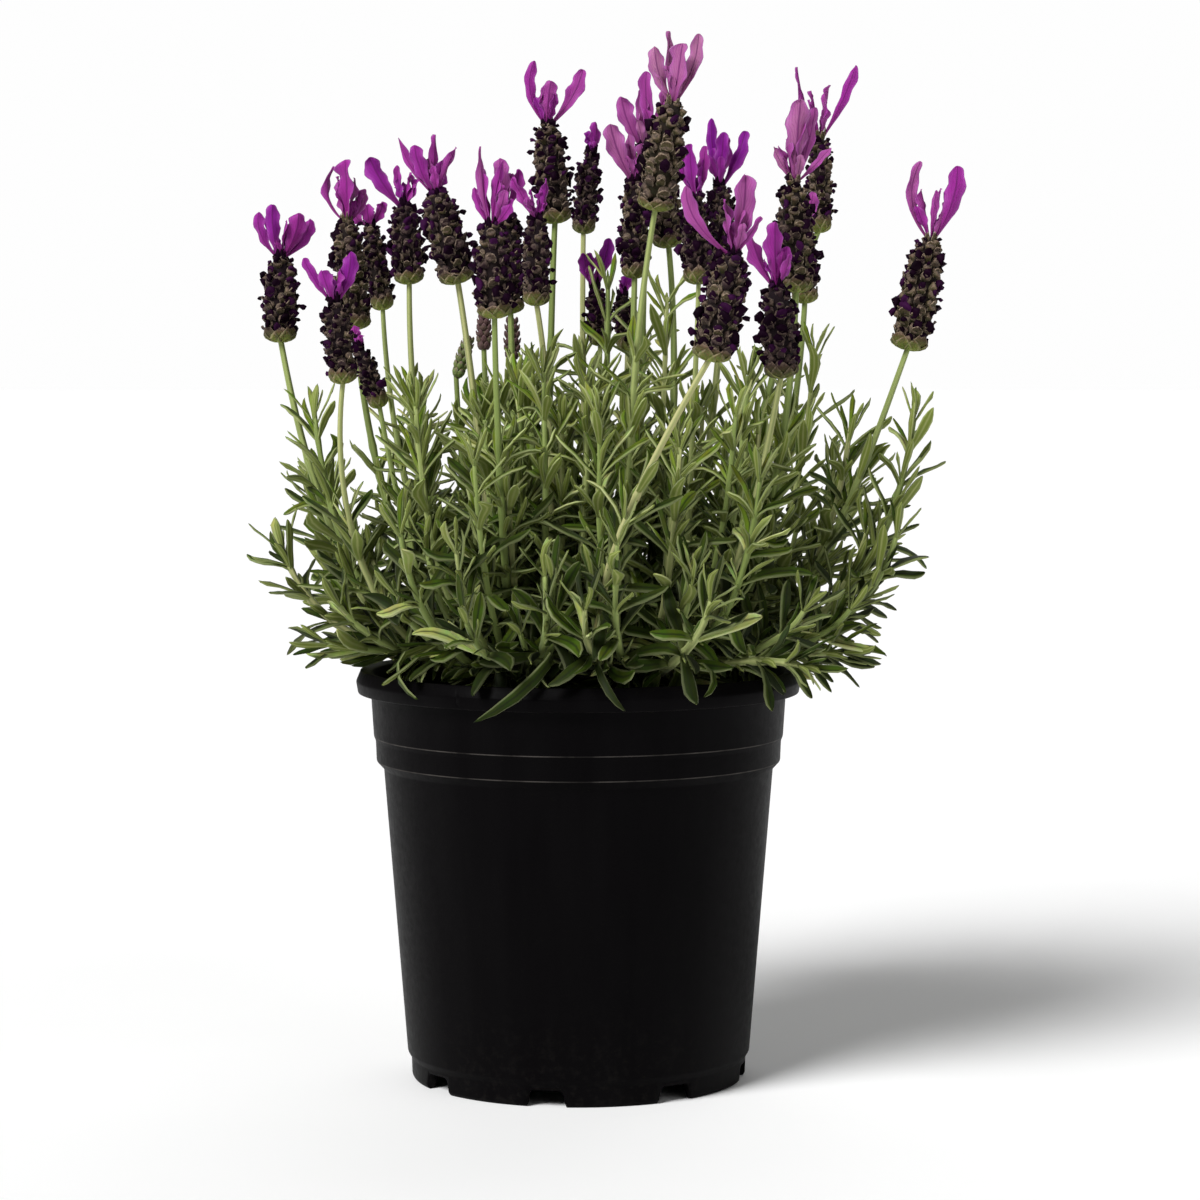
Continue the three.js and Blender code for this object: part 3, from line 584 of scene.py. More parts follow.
def makeSoil():
    bm = startMesh()
    outline = soil["wall"] + [(soil["radius"], soil["edge"])]
    for i in range(1, soil["rings"] + 1):
        radius = soil["radius"] * (1 - i / soil["rings"])
        outline.append((radius, soilHeight(radius, 0)))
    turnOutline(bm, outline, soil["turns"])
    for corner in bm.verts:
        if corner.co.z > soil["edge"] - 1 and corner.co.xy.length < soil["radius"] - 0.4:
            corner.co.z += noise.noise(corner.co * 0.09) * 2.2 + noise.noise(corner.co * 0.4) * 0.9
    for i in range(soil["crumbs"]):
        radius, turn = soil["reach"] * math.sqrt(chance(i, 1, 1)), math.tau * chance(i, 2, 1)
        x, y = radius * math.cos(turn), radius * math.sin(turn)
        size = mix(*soil["crumbSize"], chance(i, 3, 1) ** 3)
        crumb = bmesh.ops.create_icosphere(bm, subdivisions=1, radius=size)["verts"]
        for corner in crumb:
            corner.co *= 1 + noise.noise(corner.co * 0.9 + Vector((i, 0, 0))) * 0.5
        bmesh.ops.scale(bm, vec=(1, 0.75, 0.6), verts=crumb)
        bmesh.ops.rotate(bm, cent=(0, 0, 0), matrix=Matrix.Rotation(turn * 3, 3, "Z"), verts=crumb)
        bmesh.ops.translate(bm, vec=(x, y, soilHeight(x, y) + size * 0.2), verts=crumb)
    return finishPiece(bm, "soil_bed", "soil", "soil", compost)


makeSoil()
print("soil ready")


# The plant's plan: branches, flower heads, buds and leafy shoots, in millimetres

branches = [
    {"name": "left", "foot": (-38, 0)},
    {"name": "front_left", "foot": (-22, -32)},
    {"name": "front_right", "foot": (24, -34)},
    {"name": "right", "foot": (42, -2)},
    {"name": "back_right", "foot": (24, 34)},
    {"name": "back_left", "foot": (-24, 34)},
]

# A head is on a branch, by its number above. It has the foot of its spike, a point below that on the stalk,
# how far its top leans over (x, y), its length and width, how dark it is and how pale its bracts are.
# Each bract has the place of its tip above the spike's top (x, y, z), its width and its sideways bow.
headValues = ("on", "foot", "via", "lean", "long", "wide", "dark", "tint", "bracts")
heads = [dict(zip(headValues, values)) for values in [
    (0, (-111, 10, 275), (-103, 8, 228), (0, 0), 30, 15.6, 0.75, 0.25,
     [(-7.4, -3, 16.3, 4.2, -3), (-2.2, -5, 18.9, 5, -1), (7.1, -1, 16, 6.4, 2), (10.9, 5, 14.1, 4.6, 3)]),
    (5, (-86, 50, 280), (-82, 46, 235), (-3, 0), 40, 16, 0.4, 0.5,
     [(0, -5, 22.8, 8.6, 1), (-4.6, 5, 20.5, 3.6, -6), (6.8, 1, 12, 4, 1.5)]),
    (0, (-84, -40, 260), (-91, -38, 215), (-3, -2), 28, 13, 0.7, 0.2,
     [(-10.8, 0, 15.1, 3.4, -1), (-4, -4, 10.4, 4.8, 0), (5.8, 1, 17.3, 5.2, 2)]),
    (0, (-73, -12, 251), (-68, -11, 222), (-8, -1), 22, 9.5, 0.7, 0.3,
     [(-1.5, 0, 7.5, 3.4, 0)]),
    (5, (-77.2, 80, 288), (-75.5, 72, 246), (-5, 2), 32, 11.6, 0.55, 0.3,
     [(-6.4, -3, 5, 4, -1), (-1, -4, 7.5, 5, 0), (4.6, 2, 9, 4.2, 1)]),
    (0, (-64, 30, 297), (-65, 27, 248), (-2, 0), 28, 14.3, 0.85, 0.3,
     [(-12.8, -2, 17.7, 6.2, -1.5), (-2.6, 3, 15, 2.6, -1), (5.3, 0, 9.5, 4, 0.5)]),
    (1, (-43.6, -25, 296), (-35, -24, 245), (-8, -2), 32, 16.7, 0.6, 0.4,
     [(-13.4, 2, 19.6, 2.4, -2), (-7.4, -3, 16.7, 5, -1.5), (0, 2, 20.7, 3.6, -1),
      (7.6, -1, 16, 3.2, -1)]),
    (1, (-29, -65, 283), (-29, -60, 240), (-1, -2), 31, 15.6, 0.6, 0.5,
     [(-3.6, -1, 27, 3, -1.5), (4.2, 0, 22, 3, -1), (-6, 4, 13, 2.8, -1), (8, -3, 8.4, 3.4, 1)]),
    (5, (-25.8, 30, 286), (-25, 28, 245), (-2, 1), 38, 13.5, 0.75, 0.5,
     [(-1.8, -3, 18.4, 6, -0.5), (5, 2, 14.5, 4.6, 1)]),
    (1, (-15, -30, 288), (-7, -28, 245), (0, 0), 30, 12.4, 0.75, 0.3,
     [(-8.7, 0, 14.1, 4, 0.5), (3.6, 1, 13.8, 3.4, 1), (-3.5, -6, 6.5, 4, 0)]),
    (5, (-9, 35, 320), (-12, 33, 268), (-3, -1), 36, 15.8, 0.6, 0.35,
     [(-4.7, 1, 23.4, 3.8, -4.5), (1.5, -3, 15.5, 5.6, -0.5), (13.6, 0, 20, 5.2, 2.5)]),
    (4, (1.5, 85, 318), (0.5, 76, 262), (3, 1), 30, 11.7, 0.95, 0.15,
     [(1.6, -0.5, 11.9, 4.6, 1)]),
    (2, (27.6, -60, 321), (16.5, -57, 262), (6, -9), 37, 17, 0.3, 0.95,
     [(-6.4, 1, 19, 5, -1.5), (-1.4, 3, 24.5, 4, -0.5), (3.4, -4, 19.6, 7.4, 0.5),
      (8.9, 1, 23.4, 4.4, 2.5)]),
    (4, (34, 40, 311), (40, 37, 262), (-5, 1), 39, 15.1, 0.6, 0.6,
     [(-3.4, -1, 26, 5, -1.5), (3, 1, 18.9, 4.8, 0.5)]),
    (4, (26, 90, 321), (25, 80, 268), (-1, 2), 30, 14, 0.6, 0.8,
     [(-8.6, -1, 19, 6.2, -1.5), (-0.8, 1, 22.2, 5, 0)]),
    (4, (21, 20, 299), (20, 19, 255), (0, 0), 35, 12.7, 0.65, 0.6,
     [(-9.2, -2, 20.4, 6.6, -1.5), (-2.4, 3, 17, 3.6, 0)]),
    (3, (44, -15, 296), (43.5, -14, 255), (-1, 0), 30, 14.3, 0.8, 0.2,
     [(-6.9, 0, 19.7, 4.6, -1), (-2.2, -4, 18.8, 5, -0.5), (3.6, 1, 18.3, 4, 0.5)]),
    (4, (56, 60, 305), (54, 55, 258), (-2, 1), 29, 13.8, 0.8, 0.1,
     [(-3.1, 1, 25.6, 3.6, -1), (1.6, -4, 20, 4.8, 0), (10, 0, 20.7, 5, 1.5)]),
    (2, (46, -95, 268), (0, -80, 190), (8, -3), 36, 17.5, 0.6, 0.6,
     [(-16.4, -1, 22.6, 4.6, -5), (3.6, 1, 26.4, 7, 1), (9, -2, 12.2, 2.4, 0)]),
    (2, (72, -60, 262), (66, -56, 228), (-2, -1), 31, 15.6, 1, 0.35,
     [(-9, 0, 17.4, 5.2, -1.5), (-0.7, -3, 22, 6, -0.5), (3.6, 1, 13.5, 4, 1)]),
    (3, (79.6, -15, 293), (79, -14, 245), (-1, -1), 39, 16.1, 0.5, 0.75,
     [(2.2, -3, 28.9, 7.4, -0.5), (7.6, 2, 26.3, 4.6, 1), (-7.4, 1, 12, 2.6, -0.5),
      (13.4, -1, 11.5, 2.6, 0.5)]),
    (4, (93.5, 75, 318), (72, 69, 272), (0, 1), 36, 12, 0.5, 0.4,
     [(-8.8, 0, 26.3, 3, -2), (14, 0, 27, 3.8, 1.5), (-3.4, -3, 9, 3, -0.5)]),
    (3, (86, 40, 290), (84, 36, 245), (-1, 1), 27, 12.9, 0.5, 0.5,
     [(4, -1, 13.2, 4.4, 0.5), (-4.4, 1, 11.3, 4.2, -0.5)]),
    (3, (122, 0, 272), (102, 0, 216), (8, 0), 40, 17.8, 0.45, 0.5,
     [(-3.7, 1, 28.4, 3.8, -6), (9.6, -1, 26.6, 6.2, 3), (2, -2, 17.7, 2.6, 0)]),
    (4, (8, 55, 274), (8, 51, 240), (-2, 0), 21, 10.7, 0.85, 0.2,
     [(-4.2, -1, 12.6, 4.4, -1), (5.6, 1, 18.4, 4.6, 0.5)]),
    (4, (19, 100, 272), (18, 92, 238), (-2, 2), 21, 11, 0.85, 0.2,
     [(2.2, -1, 9.6, 4, 0.5)]),
]]

# Flower buds, the first still green and the others withered
buds = [
    {"on": 5, "foot": (-48, 70, 259), "lean": (5, 0), "long": 16, "wide": 6.4, "dark": 0},
    {"on": 5, "foot": (-38, 95, 270), "lean": (0, 2), "long": 14, "wide": 6.6, "dark": 0.5},
    {"on": 5, "foot": (-26, 62, 266), "lean": (0, 0), "long": 16, "wide": 7, "dark": 0.6},
]

# Shoots without a flower: the number of the branch and the place of the tip
leafyTips = [
    (0, -97, -6, 246), (0, -108, -14, 197), (0, -92, 16, 184), (0, -86, -34, 178), (0, -100, 34, 216),
    (1, -58, -42, 250), (1, -12, -52, 262), (1, -62, -72, 206), (1, -8, -84, 190), (1, -38, -92, 176),
    (1, -36, -74, 232), (2, 36, -72, 236), (2, 64, -74, 226), (2, 80, -62, 178), (2, 14, -92, 204),
    (2, 46, -98, 184), (2, 8, -66, 248), (3, 123, -14, 245), (3, 116, -24, 203), (3, 98, -40, 177),
    (3, 101, 4, 242), (3, 89, 28, 270), (3, 112, 20, 194), (3, 106, -12, 204), (3, 96, -34, 161),
    (2, 78, -66, 159), (0, -90, -28, 163), (4, 98, 50, 226), (4, 33, 12, 290), (4, 76, 86, 232),
    (4, 104, 62, 214), (4, 42, 112, 206), (4, 11, 22, 298), (4, 8, 116, 190), (5, -98, 66, 218),
    (5, -62, 98, 226), (5, -28, 112, 204), (5, -84, 84, 188),
]

# Low side shoots that fill the plant out over the rim, and inner ones: how many, how far out and how high
sideShoots = [
    {"count": 13, "out": (74, 91), "high": (168, 192), "salt": 1},
    {"count": 18, "out": (58, 92), "high": (188, 214), "salt": 2},
    {"count": 20, "out": (14, 62), "high": (196, 236), "salt": 3},
    {"count": 26, "out": (10, 88), "high": (226, 264), "salt": 4},
]

shoot = {
    "kneeHeight": 161, "kneeShare": 0.84, "stalk": 50, "budStalk": 22, "firstNode": 6.5, "spacing": 12.6,
    "footRadius": 1.7, "neckRadius": 1.15, "stalkRadius": 0.88, "tipRadius": 0.75,
    "ring": 3.4, "ridge": 1.2, "flank": 0.94, "nodeSwell": 0.25, "intoHead": 4,
    # the stalk of this head, which crosses the middle of the plant, is thicker by so much
    "thickHead": 18, "thicker": 1.2,
}


# Bottom, direction and top of a head or bud
def headAxis(head):
    bottom = Vector(head["foot"])
    axis = Vector((*head["lean"], head["long"])).normalized()
    return bottom, axis, bottom + axis * head["long"]


# The branch whose foot is nearest to the middle of a shoot that ends over a place
def branchUnder(x, y):
    return min(range(len(branches)), key=lambda on: math.dist(branches[on]["foot"], (x * 0.45, y * 0.45)))


# The curve of a shoot: out from its branch's foot, over the rim, then up to its tip
def shootCurve(on, tip, via, rank):
    start = Vector((*branches[on]["foot"], soil["crown"] + 3 + rank % 5 * 2))
    end, knee = Vector(tip), shoot["kneeHeight"]
    bend = Vector(via) if via else Vector((end.x * 0.94, end.y * 0.94, mix(knee, end.z, 0.4)))
    return [start, Vector((bend.x * shoot["kneeShare"], bend.y * shoot["kneeShare"], knee)), bend, end]


# Every shoot of the plant, flowering ones first, with the stretch below its tip that has no leaves
def listShoots():
    plans = [(head["on"], (*head["foot"][:2], head["foot"][2] - 0.3), head["via"], shoot["stalk"], "head")
             for head in heads]
    plans += [(bud["on"], bud["foot"], None, shoot["budStalk"], "bud") for bud in buds]
    plans += [(on, tip, None, 0, "leaf") for on, *tip in leafyTips]
    for group in sideShoots:
        for i in range(group["count"]):
            turn = math.tau * (i + jitter(i, group["salt"], 41, 0.3)) / group["count"]
            out = mix(*group["out"], chance(i, group["salt"], 42))
            x, y = out * math.cos(turn), out * math.sin(turn)
            tip = (x, y, mix(*group["high"], chance(i, group["salt"], 43)))
            plans.append((branchUnder(x, y), tip, None, 0, "leaf"))
    ranks = [0] * len(branches)
    shoots = []
    for number, (on, tip, via, stalk, kind) in enumerate(plans):
        turn = chance(number, 0, 2) * math.pi / 2
        shoots.append({"on": on, "curve": shootCurve(on, tip, via, ranks[on]), "stalk": stalk, "kind": kind,
                       "number": number, "corner": Vector((math.cos(turn), math.sin(turn), 0)),
                       "thick": shoot["thicker"] if number == shoot["thickHead"] else 1})
        ranks[on] += 1
    return shoots


# Places along a curve at even distances, as shares of the curve
def evenSteps(curve, first, spare, spacing):
    spots = [bezier(curve, i / 80) for i in range(81)]
    lengths = [(b - a).length for a, b in zip(spots, spots[1:])]
    whole, gone, nextStop, steps = sum(lengths), 0, first, []
    for i, length in enumerate(lengths):
        gone += length
        if gone >= nextStop and gone <= whole - spare:
            steps.append((i + 1) / 80)
            nextStop += spacing
    return steps, whole


# What is in place already, so that leaves can grow clear of it

# How far leaves may pass the solids' box, and the ring over the pot's rim and the layer over the soil
# that they stay out of
room = {"cell": 10, "pastBox": 3.5, "rim": (70, 84.5), "rimTop": 154.5, "overSoil": 2}
lowest = [part * 1000 - room["pastBox"] for part in solidBox[0]]
highest = [part * 1000 + room["pastBox"] for part in solidBox[1]]
taken = {}


def cellOf(spot):
    return tuple(int(part // room["cell"]) for part in spot)


def occupy(spots, reach, owner):
    for spot in spots:
        taken.setdefault(cellOf(spot), []).append((spot, reach, owner))


def isFree(spots, reach, owner):
    inner, outer = room["rim"]
    for spot in spots:
        if any(spot[i] < lowest[i] or spot[i] > highest[i] for i in range(3)):
            return False
        radius = spot.xy.length
        if inner < radius < outer and spot.z < room["rimTop"]:
            return False
        if radius <= inner and spot.z < soilHeight(*spot.xy) + room["overSoil"]:
            return False
        a, b, c = cellOf(spot)
        for cell in ((a + i, b + j, c + k) for i in (-1, 0, 1) for j in (-1, 0, 1) for k in (-1, 0, 1)):
            for other, otherReach, otherOwner in taken.get(cell, ()):
                if otherOwner != owner and (other - spot).length < reach + otherReach:
                    return False
    return True


# Leaves

leaf = {
    "length": 28, "width": 4.8, "thick": 1.2, "sides": 8, "rings": 8, "reach": 0.75,
    "outline": [(0, 0.36), (0.05, 0.42), (0.19, 0.62), (0.39, 0.88), (0.6, 1), (0.75, 0.9), (0.88, 0.56),
                (0.97, 0.2), (1, 0.1)],
    # shares of half the width and of the thickness: rolled margins, a groove on top and a keel below
    "section": [(1, -0.4), (0.7, 0.42), (0, -0.1), (-0.7, 0.42), (-1, -0.4), (-0.66, -0.35), (0, -0.7),
                (0.66, -0.35)],
    # other ways to grow where a leaf has no room: its share of the length, then degrees aside and upwards
    "tries": [(1, 0, 0), (1, 0, 14), (1, 0, -14), (1, 18, 6), (1, -18, 6), (0.85, 0, 26), (0.85, 34, 0),
              (0.85, -34, 0), (0.7, 0, 0), (0.7, 24, 20), (0.7, -24, 20)],
    "silvery": 0.06,
}

smallLeaf = {
    "lengths": (9, 22), "width": 3, "thick": 0.95, "sides": 6, "rings": 6, "tuft": (0.8, 2.8),
    "section": [(1, -0.3), (0.5, 0.42), (-0.5, 0.42), (-1, -0.3), (-0.45, -0.5), (0.45, -0.5)],
}

# Long leaves that hang over the rim: where each crosses it, where its tip ends, and its width
hanging = [
    ((-4, -84, 158), (-36, -88, 141), 4.8), ((4, -84, 157), (17, -89, 145), 3.2),
    ((-70, -50, 158), (-56, -68, 147), 4), ((62, -58, 158), (74, -52, 147), 3.6),
    ((52, -70, 157), (44, -79, 149), 3), ((86, -18, 162), (103, -22, 147), 4.2),
    ((82, 14, 160), (101, 6, 149), 4), ((78, -36, 160), (92, -44, 151), 4.4),
    ((100, -6, 208), (123, -4, 213), 5), ((-30, 82, 158), (-6, 91, 144), 4.4),
    ((60, 60, 158), (76, 56, 146), 4), ((-66, 54, 158), (-82, 50, 147), 4),
]


# The curve of a leaf that rises from a shoot, arches over and curls up again, and its sideways direction
def leafCurve(root, stem, corner, turn, rise, droop, length, curl):
    outward = (corner - stem * corner.dot(stem)).normalized()
    outward.rotate(Matrix.Rotation(turn, 3, stem))
    side = stem.cross(outward)
    lead, tail = outward.copy(), outward.copy()
    lead.rotate(Matrix.Rotation(-rise, 3, side))
    tail.rotate(Matrix.Rotation(droop - rise, 3, side))
    middle = root + lead * length * 0.45
    bent = middle + tail * length * 0.35
    return [root, middle, bent, bent + (tail * (1 - curl) + lead * curl) * length * 0.26], side


def drawLeaf(bm, curve, side, kind, half, tone, twist):
    count = kind["sides"]

    def section(t, angle):
        wide, deep = kind["section"][round(angle / math.tau * count) % count]
        fill = between(leaf["outline"], t)
        wave = 0.3 * wide * math.sin(t * 11 + twist * 9 + wide) * fill
        return half * fill * wide, kind["thick"] * deep * (0.5 + 0.5 * fill) + wave

    growAlong(bm, curve, side, count, kind["rings"], section, twist=twist, tone=tone)


# Grows a leaf as planned, or else bent aside, higher, lower or shorter, where it is clear
def fitLeaf(bm, plan, kind, root, stem, turn, rise, droop, length, keys):
    for size, swing, lift in leaf["tries"]:
        curve, side = leafCurve(root, stem, plan["corner"], turn + math.radians(swing),
                                rise + math.radians(lift), droop, length * size, chance(*keys, 19) * 1.3)
        spots = [bezier(curve, t) for t in (0.2, 0.36, 0.52, 0.68, 0.84, 1)]
        if isFree(spots, leaf["reach"], plan["number"]):
            curve[2] += side * jitter(*keys, 11, length * 0.16)
            curve[3] += side * jitter(*keys, 20, length * 0.2)
            half = kind["width"] / 2 * (0.7 + 0.3 * length / leaf["length"])
            half *= mix(1.15, 0.85, smoothStep(root.z, 170, 260))
            occupy(spots, leaf["reach"], "leaf")
            # leaves low on the plant are darker, partly as older leaves and partly as painted shade for the
            # shade low in the plant, and a few young ones are silvery
            tone = chance(*keys, 12) * 0.45 + 0.5 * smoothStep(root.z, 165, 250)
            if chance(*keys, 21) < leaf["silvery"]:
                tone = 1.2
            drawLeaf(bm, curve, side, kind, half, tone, jitter(*keys, 13, 0.8))
            return


# A shoot's leaf pairs, each a quarter turn from the pair below, with tufts of young leaves above them
def growLeaves(bm, plan):
    curve, number = plan["curve"], plan["number"]
    steps, _ = evenSteps(curve, shoot["firstNode"], plan["stalk"] or 5, shoot["spacing"])
    for index, t in enumerate(steps):
        node = index - 1
        share = max(node, 0) / max(len(steps) - 2, 1)
        root, stem = bezier(curve, t), bezierHeading(curve, t)
        for half in (0, 1):
            key = node * 2 + half
            turn = math.radians(45 + node * 90 + half * 180 + jitter(number, key, 3, 9))
            rise = math.radians(28 + 34 * share + jitter(number, key, 4, 9))
            droop = math.radians(70 - 30 * share + jitter(number, key, 5, 42))
            length = leaf["length"] * (1 - 0.3 * share * share) * (1 + jitter(number, key, 6, 0.16))
            fitLeaf(bm, plan, leaf, root, stem, turn, rise, droop, length, (number, key))
            for young in range(round(mix(*smallLeaf["tuft"], chance(number, key, 7)))):
                keys = (number, key * 5 + young + 0.5)
                fitLeaf(bm, plan, smallLeaf, root + stem * (0.8 + young * 0.5), stem,
                        turn + math.radians((young - 1) * 38 + jitter(*keys, 8, 14)),
                        rise + math.radians(16 + jitter(*keys, 9, 14)), droop * 0.6,
                        mix(*smallLeaf["lengths"], chance(*keys, 10)), keys)
    if plan["kind"] == "leaf":
        growTip(bm, plan)


# The young leaves that close a leafy shoot
def growTip(bm, plan):
    curve, number = plan["curve"], plan["number"]
    for pair in range(3):
        t = 1 - 0.012 * (2 - pair)
        root, stem = bezier(curve, t), bezierHeading(curve, t)
        for half in (0, 1):
            keys = (number, 900 + pair * 2 + half)
            turn = math.radians(pair * 90 + half * 180 + jitter(*keys, 3, 12))
            fitLeaf(bm, plan, smallLeaf, root, stem, turn, math.radians(60 + pair * 9), math.radians(6),
                    17 - pair * 3.5, keys)


# A long leaf from the nearest stem out over the rim
def growHanging(bm, start, tip, width, plans):
    start, tip = Vector(start), Vector(tip)
    spots = [bezier(plan["curve"], i / 40) for plan in plans for i in range(5, 30)]
    root = min(spots, key=lambda spot: (spot - start * 0.88).length)
    curve = [root, start + Vector((0, 0, 8)), start.lerp(tip, 0.45) * 1.04 - Vector((0, 0, 8)), tip]
    side = Vector((start.x, start.y, 0)).cross(tip - start).normalized()
    occupy([bezier(curve, i / 10) for i in range(2, 11)], leaf["reach"], "leaf")
    drawLeaf(bm, curve, side, leaf, width / 2, 0.4 * chance(*start.xy, 32), jitter(*start.xy, 33, 0.6))


# Stems

# A square stem that swells a little where leaves leave it
def growStem(bm, plan):
    curve = plan["curve"]
    if plan["kind"] != "leaf":
        curve = curve[:-1] + [curve[-1] + (curve[-1] - curve[-2]).normalized() * shoot["intoHead"]]
    steps, whole = evenSteps(curve, shoot["firstNode"], plan["stalk"] or 5, shoot["spacing"])
    tip = shoot["tipRadius"] if plan["kind"] == "leaf" else shoot["stalkRadius"]
    taper = [(0, shoot["footRadius"]), (0.6, shoot["neckRadius"]), (1, tip)]
    woody = 0.14 + 0.2 * chance(plan["number"], 6, 5) ** 2

    def section(t, angle):
        near = min((abs(t - step) * whole for step in steps), default=99)
        radius = between(taper, t) * (1 + shoot["nodeSwell"] * max(0, 1 - near / 3))
        square = mix(shoot["flank"], shoot["ridge"], abs(math.cos(2 * angle)) ** 1.5)
        radius *= square * mix(1, plan["thick"], smoothStep(t, 0.3, 0.7))
        return radius * math.cos(angle), radius * math.sin(angle)

    rings = max(10, round(whole / shoot["ring"]))
    tone = 1 if plan["thick"] > 1 else chance(plan["number"], 5, 5)
    growAlong(bm, curve, plan["corner"], 8, rings, section, even=True, material=1, tone=tone,
              wood=lambda t: 1 - smoothStep(t, woody - 0.14, woody))


# The woody foot of a branch, from the soil to where its shoots part
def growTrunk(bm, branch, on):
    x, y = branch["foot"]
    curve = [Vector((x, y, 120)), Vector((x + 1.2, y, 138)), Vector((x - 0.6, y + 0.6, 157))]

    def section(t, angle):
        knots = 1 + 0.14 * noise.noise(Vector((math.cos(angle), math.sin(angle), t * 6 + on * 9)))
        return tuple(3 * (1 - 0.25 * t) * knots * part for part in (math.cos(angle), math.sin(angle)))

    growAlong(bm, curve, Vector((1, 0, 0)), 12, 14, section, even=True, material=1, wood=lambda t: 1)


# Flower spikes

spike = {
    "body": 0.78, "core": 0.8, "tier": 3.8, "columns": 8, "leanLow": 14, "leanHigh": 74,
    "calyxLong": 4.4, "calyxWide": 4, "floretWide": 3.8, "floretDeep": 1.2, "stalked": 0.28,
    "scaleLong": 3.7, "scaleWide": 4, "cupScales": 8, "collarScales": 6,
    # half width over the height
    "outline": [(0, 0.5), (0.06, 0.78), (0.16, 0.94), (0.35, 1), (0.6, 0.96), (0.8, 0.85), (0.93, 0.64),
                (1, 0.34)],
}

floretOutline = [(0, 0.6), (0.35, 0.85), (0.65, 1), (0.9, 0.88), (1, 0.4)]
stalkedOutline = [(0, 0.55), (0.35, 0.5), (0.65, 0.9), (0.9, 1), (1, 0.4)]
calyxOutline = [(0, 0.4), (0.35, 0.62), (0.65, 0.88), (0.9, 1), (1, 0.5)]
scaleOutline = [(0, 0.5), (0.146, 0.8), (0.4, 1), (0.65, 0.9), (0.905, 0.42), (1, 0)]

# A spike's materials, and which of them is whose
spikeMaterials = [felt["core_felt"], felt["calyx_felt"], felt["scale_felt"], felt["cup_felt"], floretVelvet]
calyxSkin, scaleSkin, cupSkin, floretSkin = 1, 2, 3, 4


# Half the width of a spike's body at a share of its height
def spikeRadius(t, half):
    return half * spike["body"] * between(spike["outline"], t)


# Squares up a direction with an axis and turns it about the axis
def turnedFrom(axis, turn):
    outward = (Vector((1, 0, 0)) - axis * axis.x).normalized()
    outward.rotate(Matrix.Rotation(turn, 3, axis))
    return outward


def roundSection(width, depth, outline):
    def section(t, angle):
        fill = between(outline, t)
        return width / 2 * fill * math.cos(angle), depth / 2 * fill * math.sin(angle)
    return section


# A scale cupped round what it covers
def cuppedSection(width, depth, cup, ripple):
    def section(t, angle):
        fill, across = between(scaleOutline, t), math.cos(angle)
        bulge = width * cup * fill * across ** 2 + ripple * math.sin(t * 9 + across * 3)
        return width / 2 * fill * across, depth / 2 * math.sin(angle) + bulge
    return section


# A floret in the mouth of a calyx: a velvety knob, or a faded one on a stalk of its own
def drawFloret(bm, mouth, heading, down, size, tone, stalked):
    outline = stalkedOutline if stalked else floretOutline
    wide = spike["floretWide"] / 2 * size * (0.55 if stalked else 1)
    tip = mouth + heading * spike["floretDeep"] * size * (1.6 if stalked else 1)
    turn = tone * 9

    def section(t, angle):
        lobes = 1 + 0.3 * t * math.sin(angle * 5 + turn) + 0.22 * math.sin(angle * 2 + turn)
        radius = wide * between(outline, t) * lobes
        return radius * math.cos(angle), radius * math.sin(angle)

    curve = [mouth, tip, tip + down * (1.8 if stalked else 0.5) * size]
    growAlong(bm, curve, down.cross(heading), 6, 5, section, material=floretSkin, tone=tone)


# A calyx on the spike, the scale under it and, in most, a floret in its mouth
def drawCalyx(bm, head, level, outward, axis, share, keys):
    radius = spikeRadius(share, head["wide"] / 2)
    size = 0.5 + 0.5 * radius / 6
    side = axis.cross(outward)
    grown = size * (1 + jitter(*keys, 16, 0.22))
    tone = head["dark"] * 0.8 + jitter(*keys, 4, 0.3)
    lift = math.radians(mix(spike["leanLow"], spike["leanHigh"], share ** 2) + jitter(*keys, 2, 14))
    heading = (outward * math.cos(lift) + axis * math.sin(lift) + side * jitter(*keys, 12, 0.3)).normalized()
    mouth = level + outward * (radius - 0.1 + jitter(*keys, 3, 0.4))
    wide = spike["calyxWide"] * grown
    growAlong(bm, [mouth - heading * spike["calyxLong"] * size, mouth], side, 8, 5,
              roundSection(wide, wide * 0.9, calyxOutline), material=calyxSkin, tone=tone)
    shelf = level - axis * 2.6 * size + outward * (radius - 1.5)
    tilt = math.radians(mix(48, 78, share) + jitter(*keys, 10, 12))
    edge = shelf + (outward * math.cos(tilt) + axis * math.sin(tilt)) * spike["scaleLong"] * grown
    edge += side * jitter(*keys, 14, 0.9)
    broad = spike["scaleWide"] * grown * (1.15 - 0.25 * head["dark"])
    growAlong(bm, [shelf, shelf.lerp(edge, 0.5) + outward * 0.8, edge], side, 8, 5,
              cuppedSection(broad, 0.5, jitter(*keys, 17, 0.08) - 0.06, 0.3),
              material=scaleSkin, tone=tone, twist=jitter(*keys, 11, 0.5))
    if chance(*keys, 5) < 0.3 + head["dark"] * 0.8:
        down = (side * jitter(*keys, 8, 1) - axis * chance(*keys, 18) + outward * 0.3).normalized()
        drawFloret(bm, mouth - heading * 0.3, heading, down, grown * (1 + jitter(*keys, 6, 0.2)),
                   chance(*keys, 7), chance(*keys, 19) < spike["stalked"])


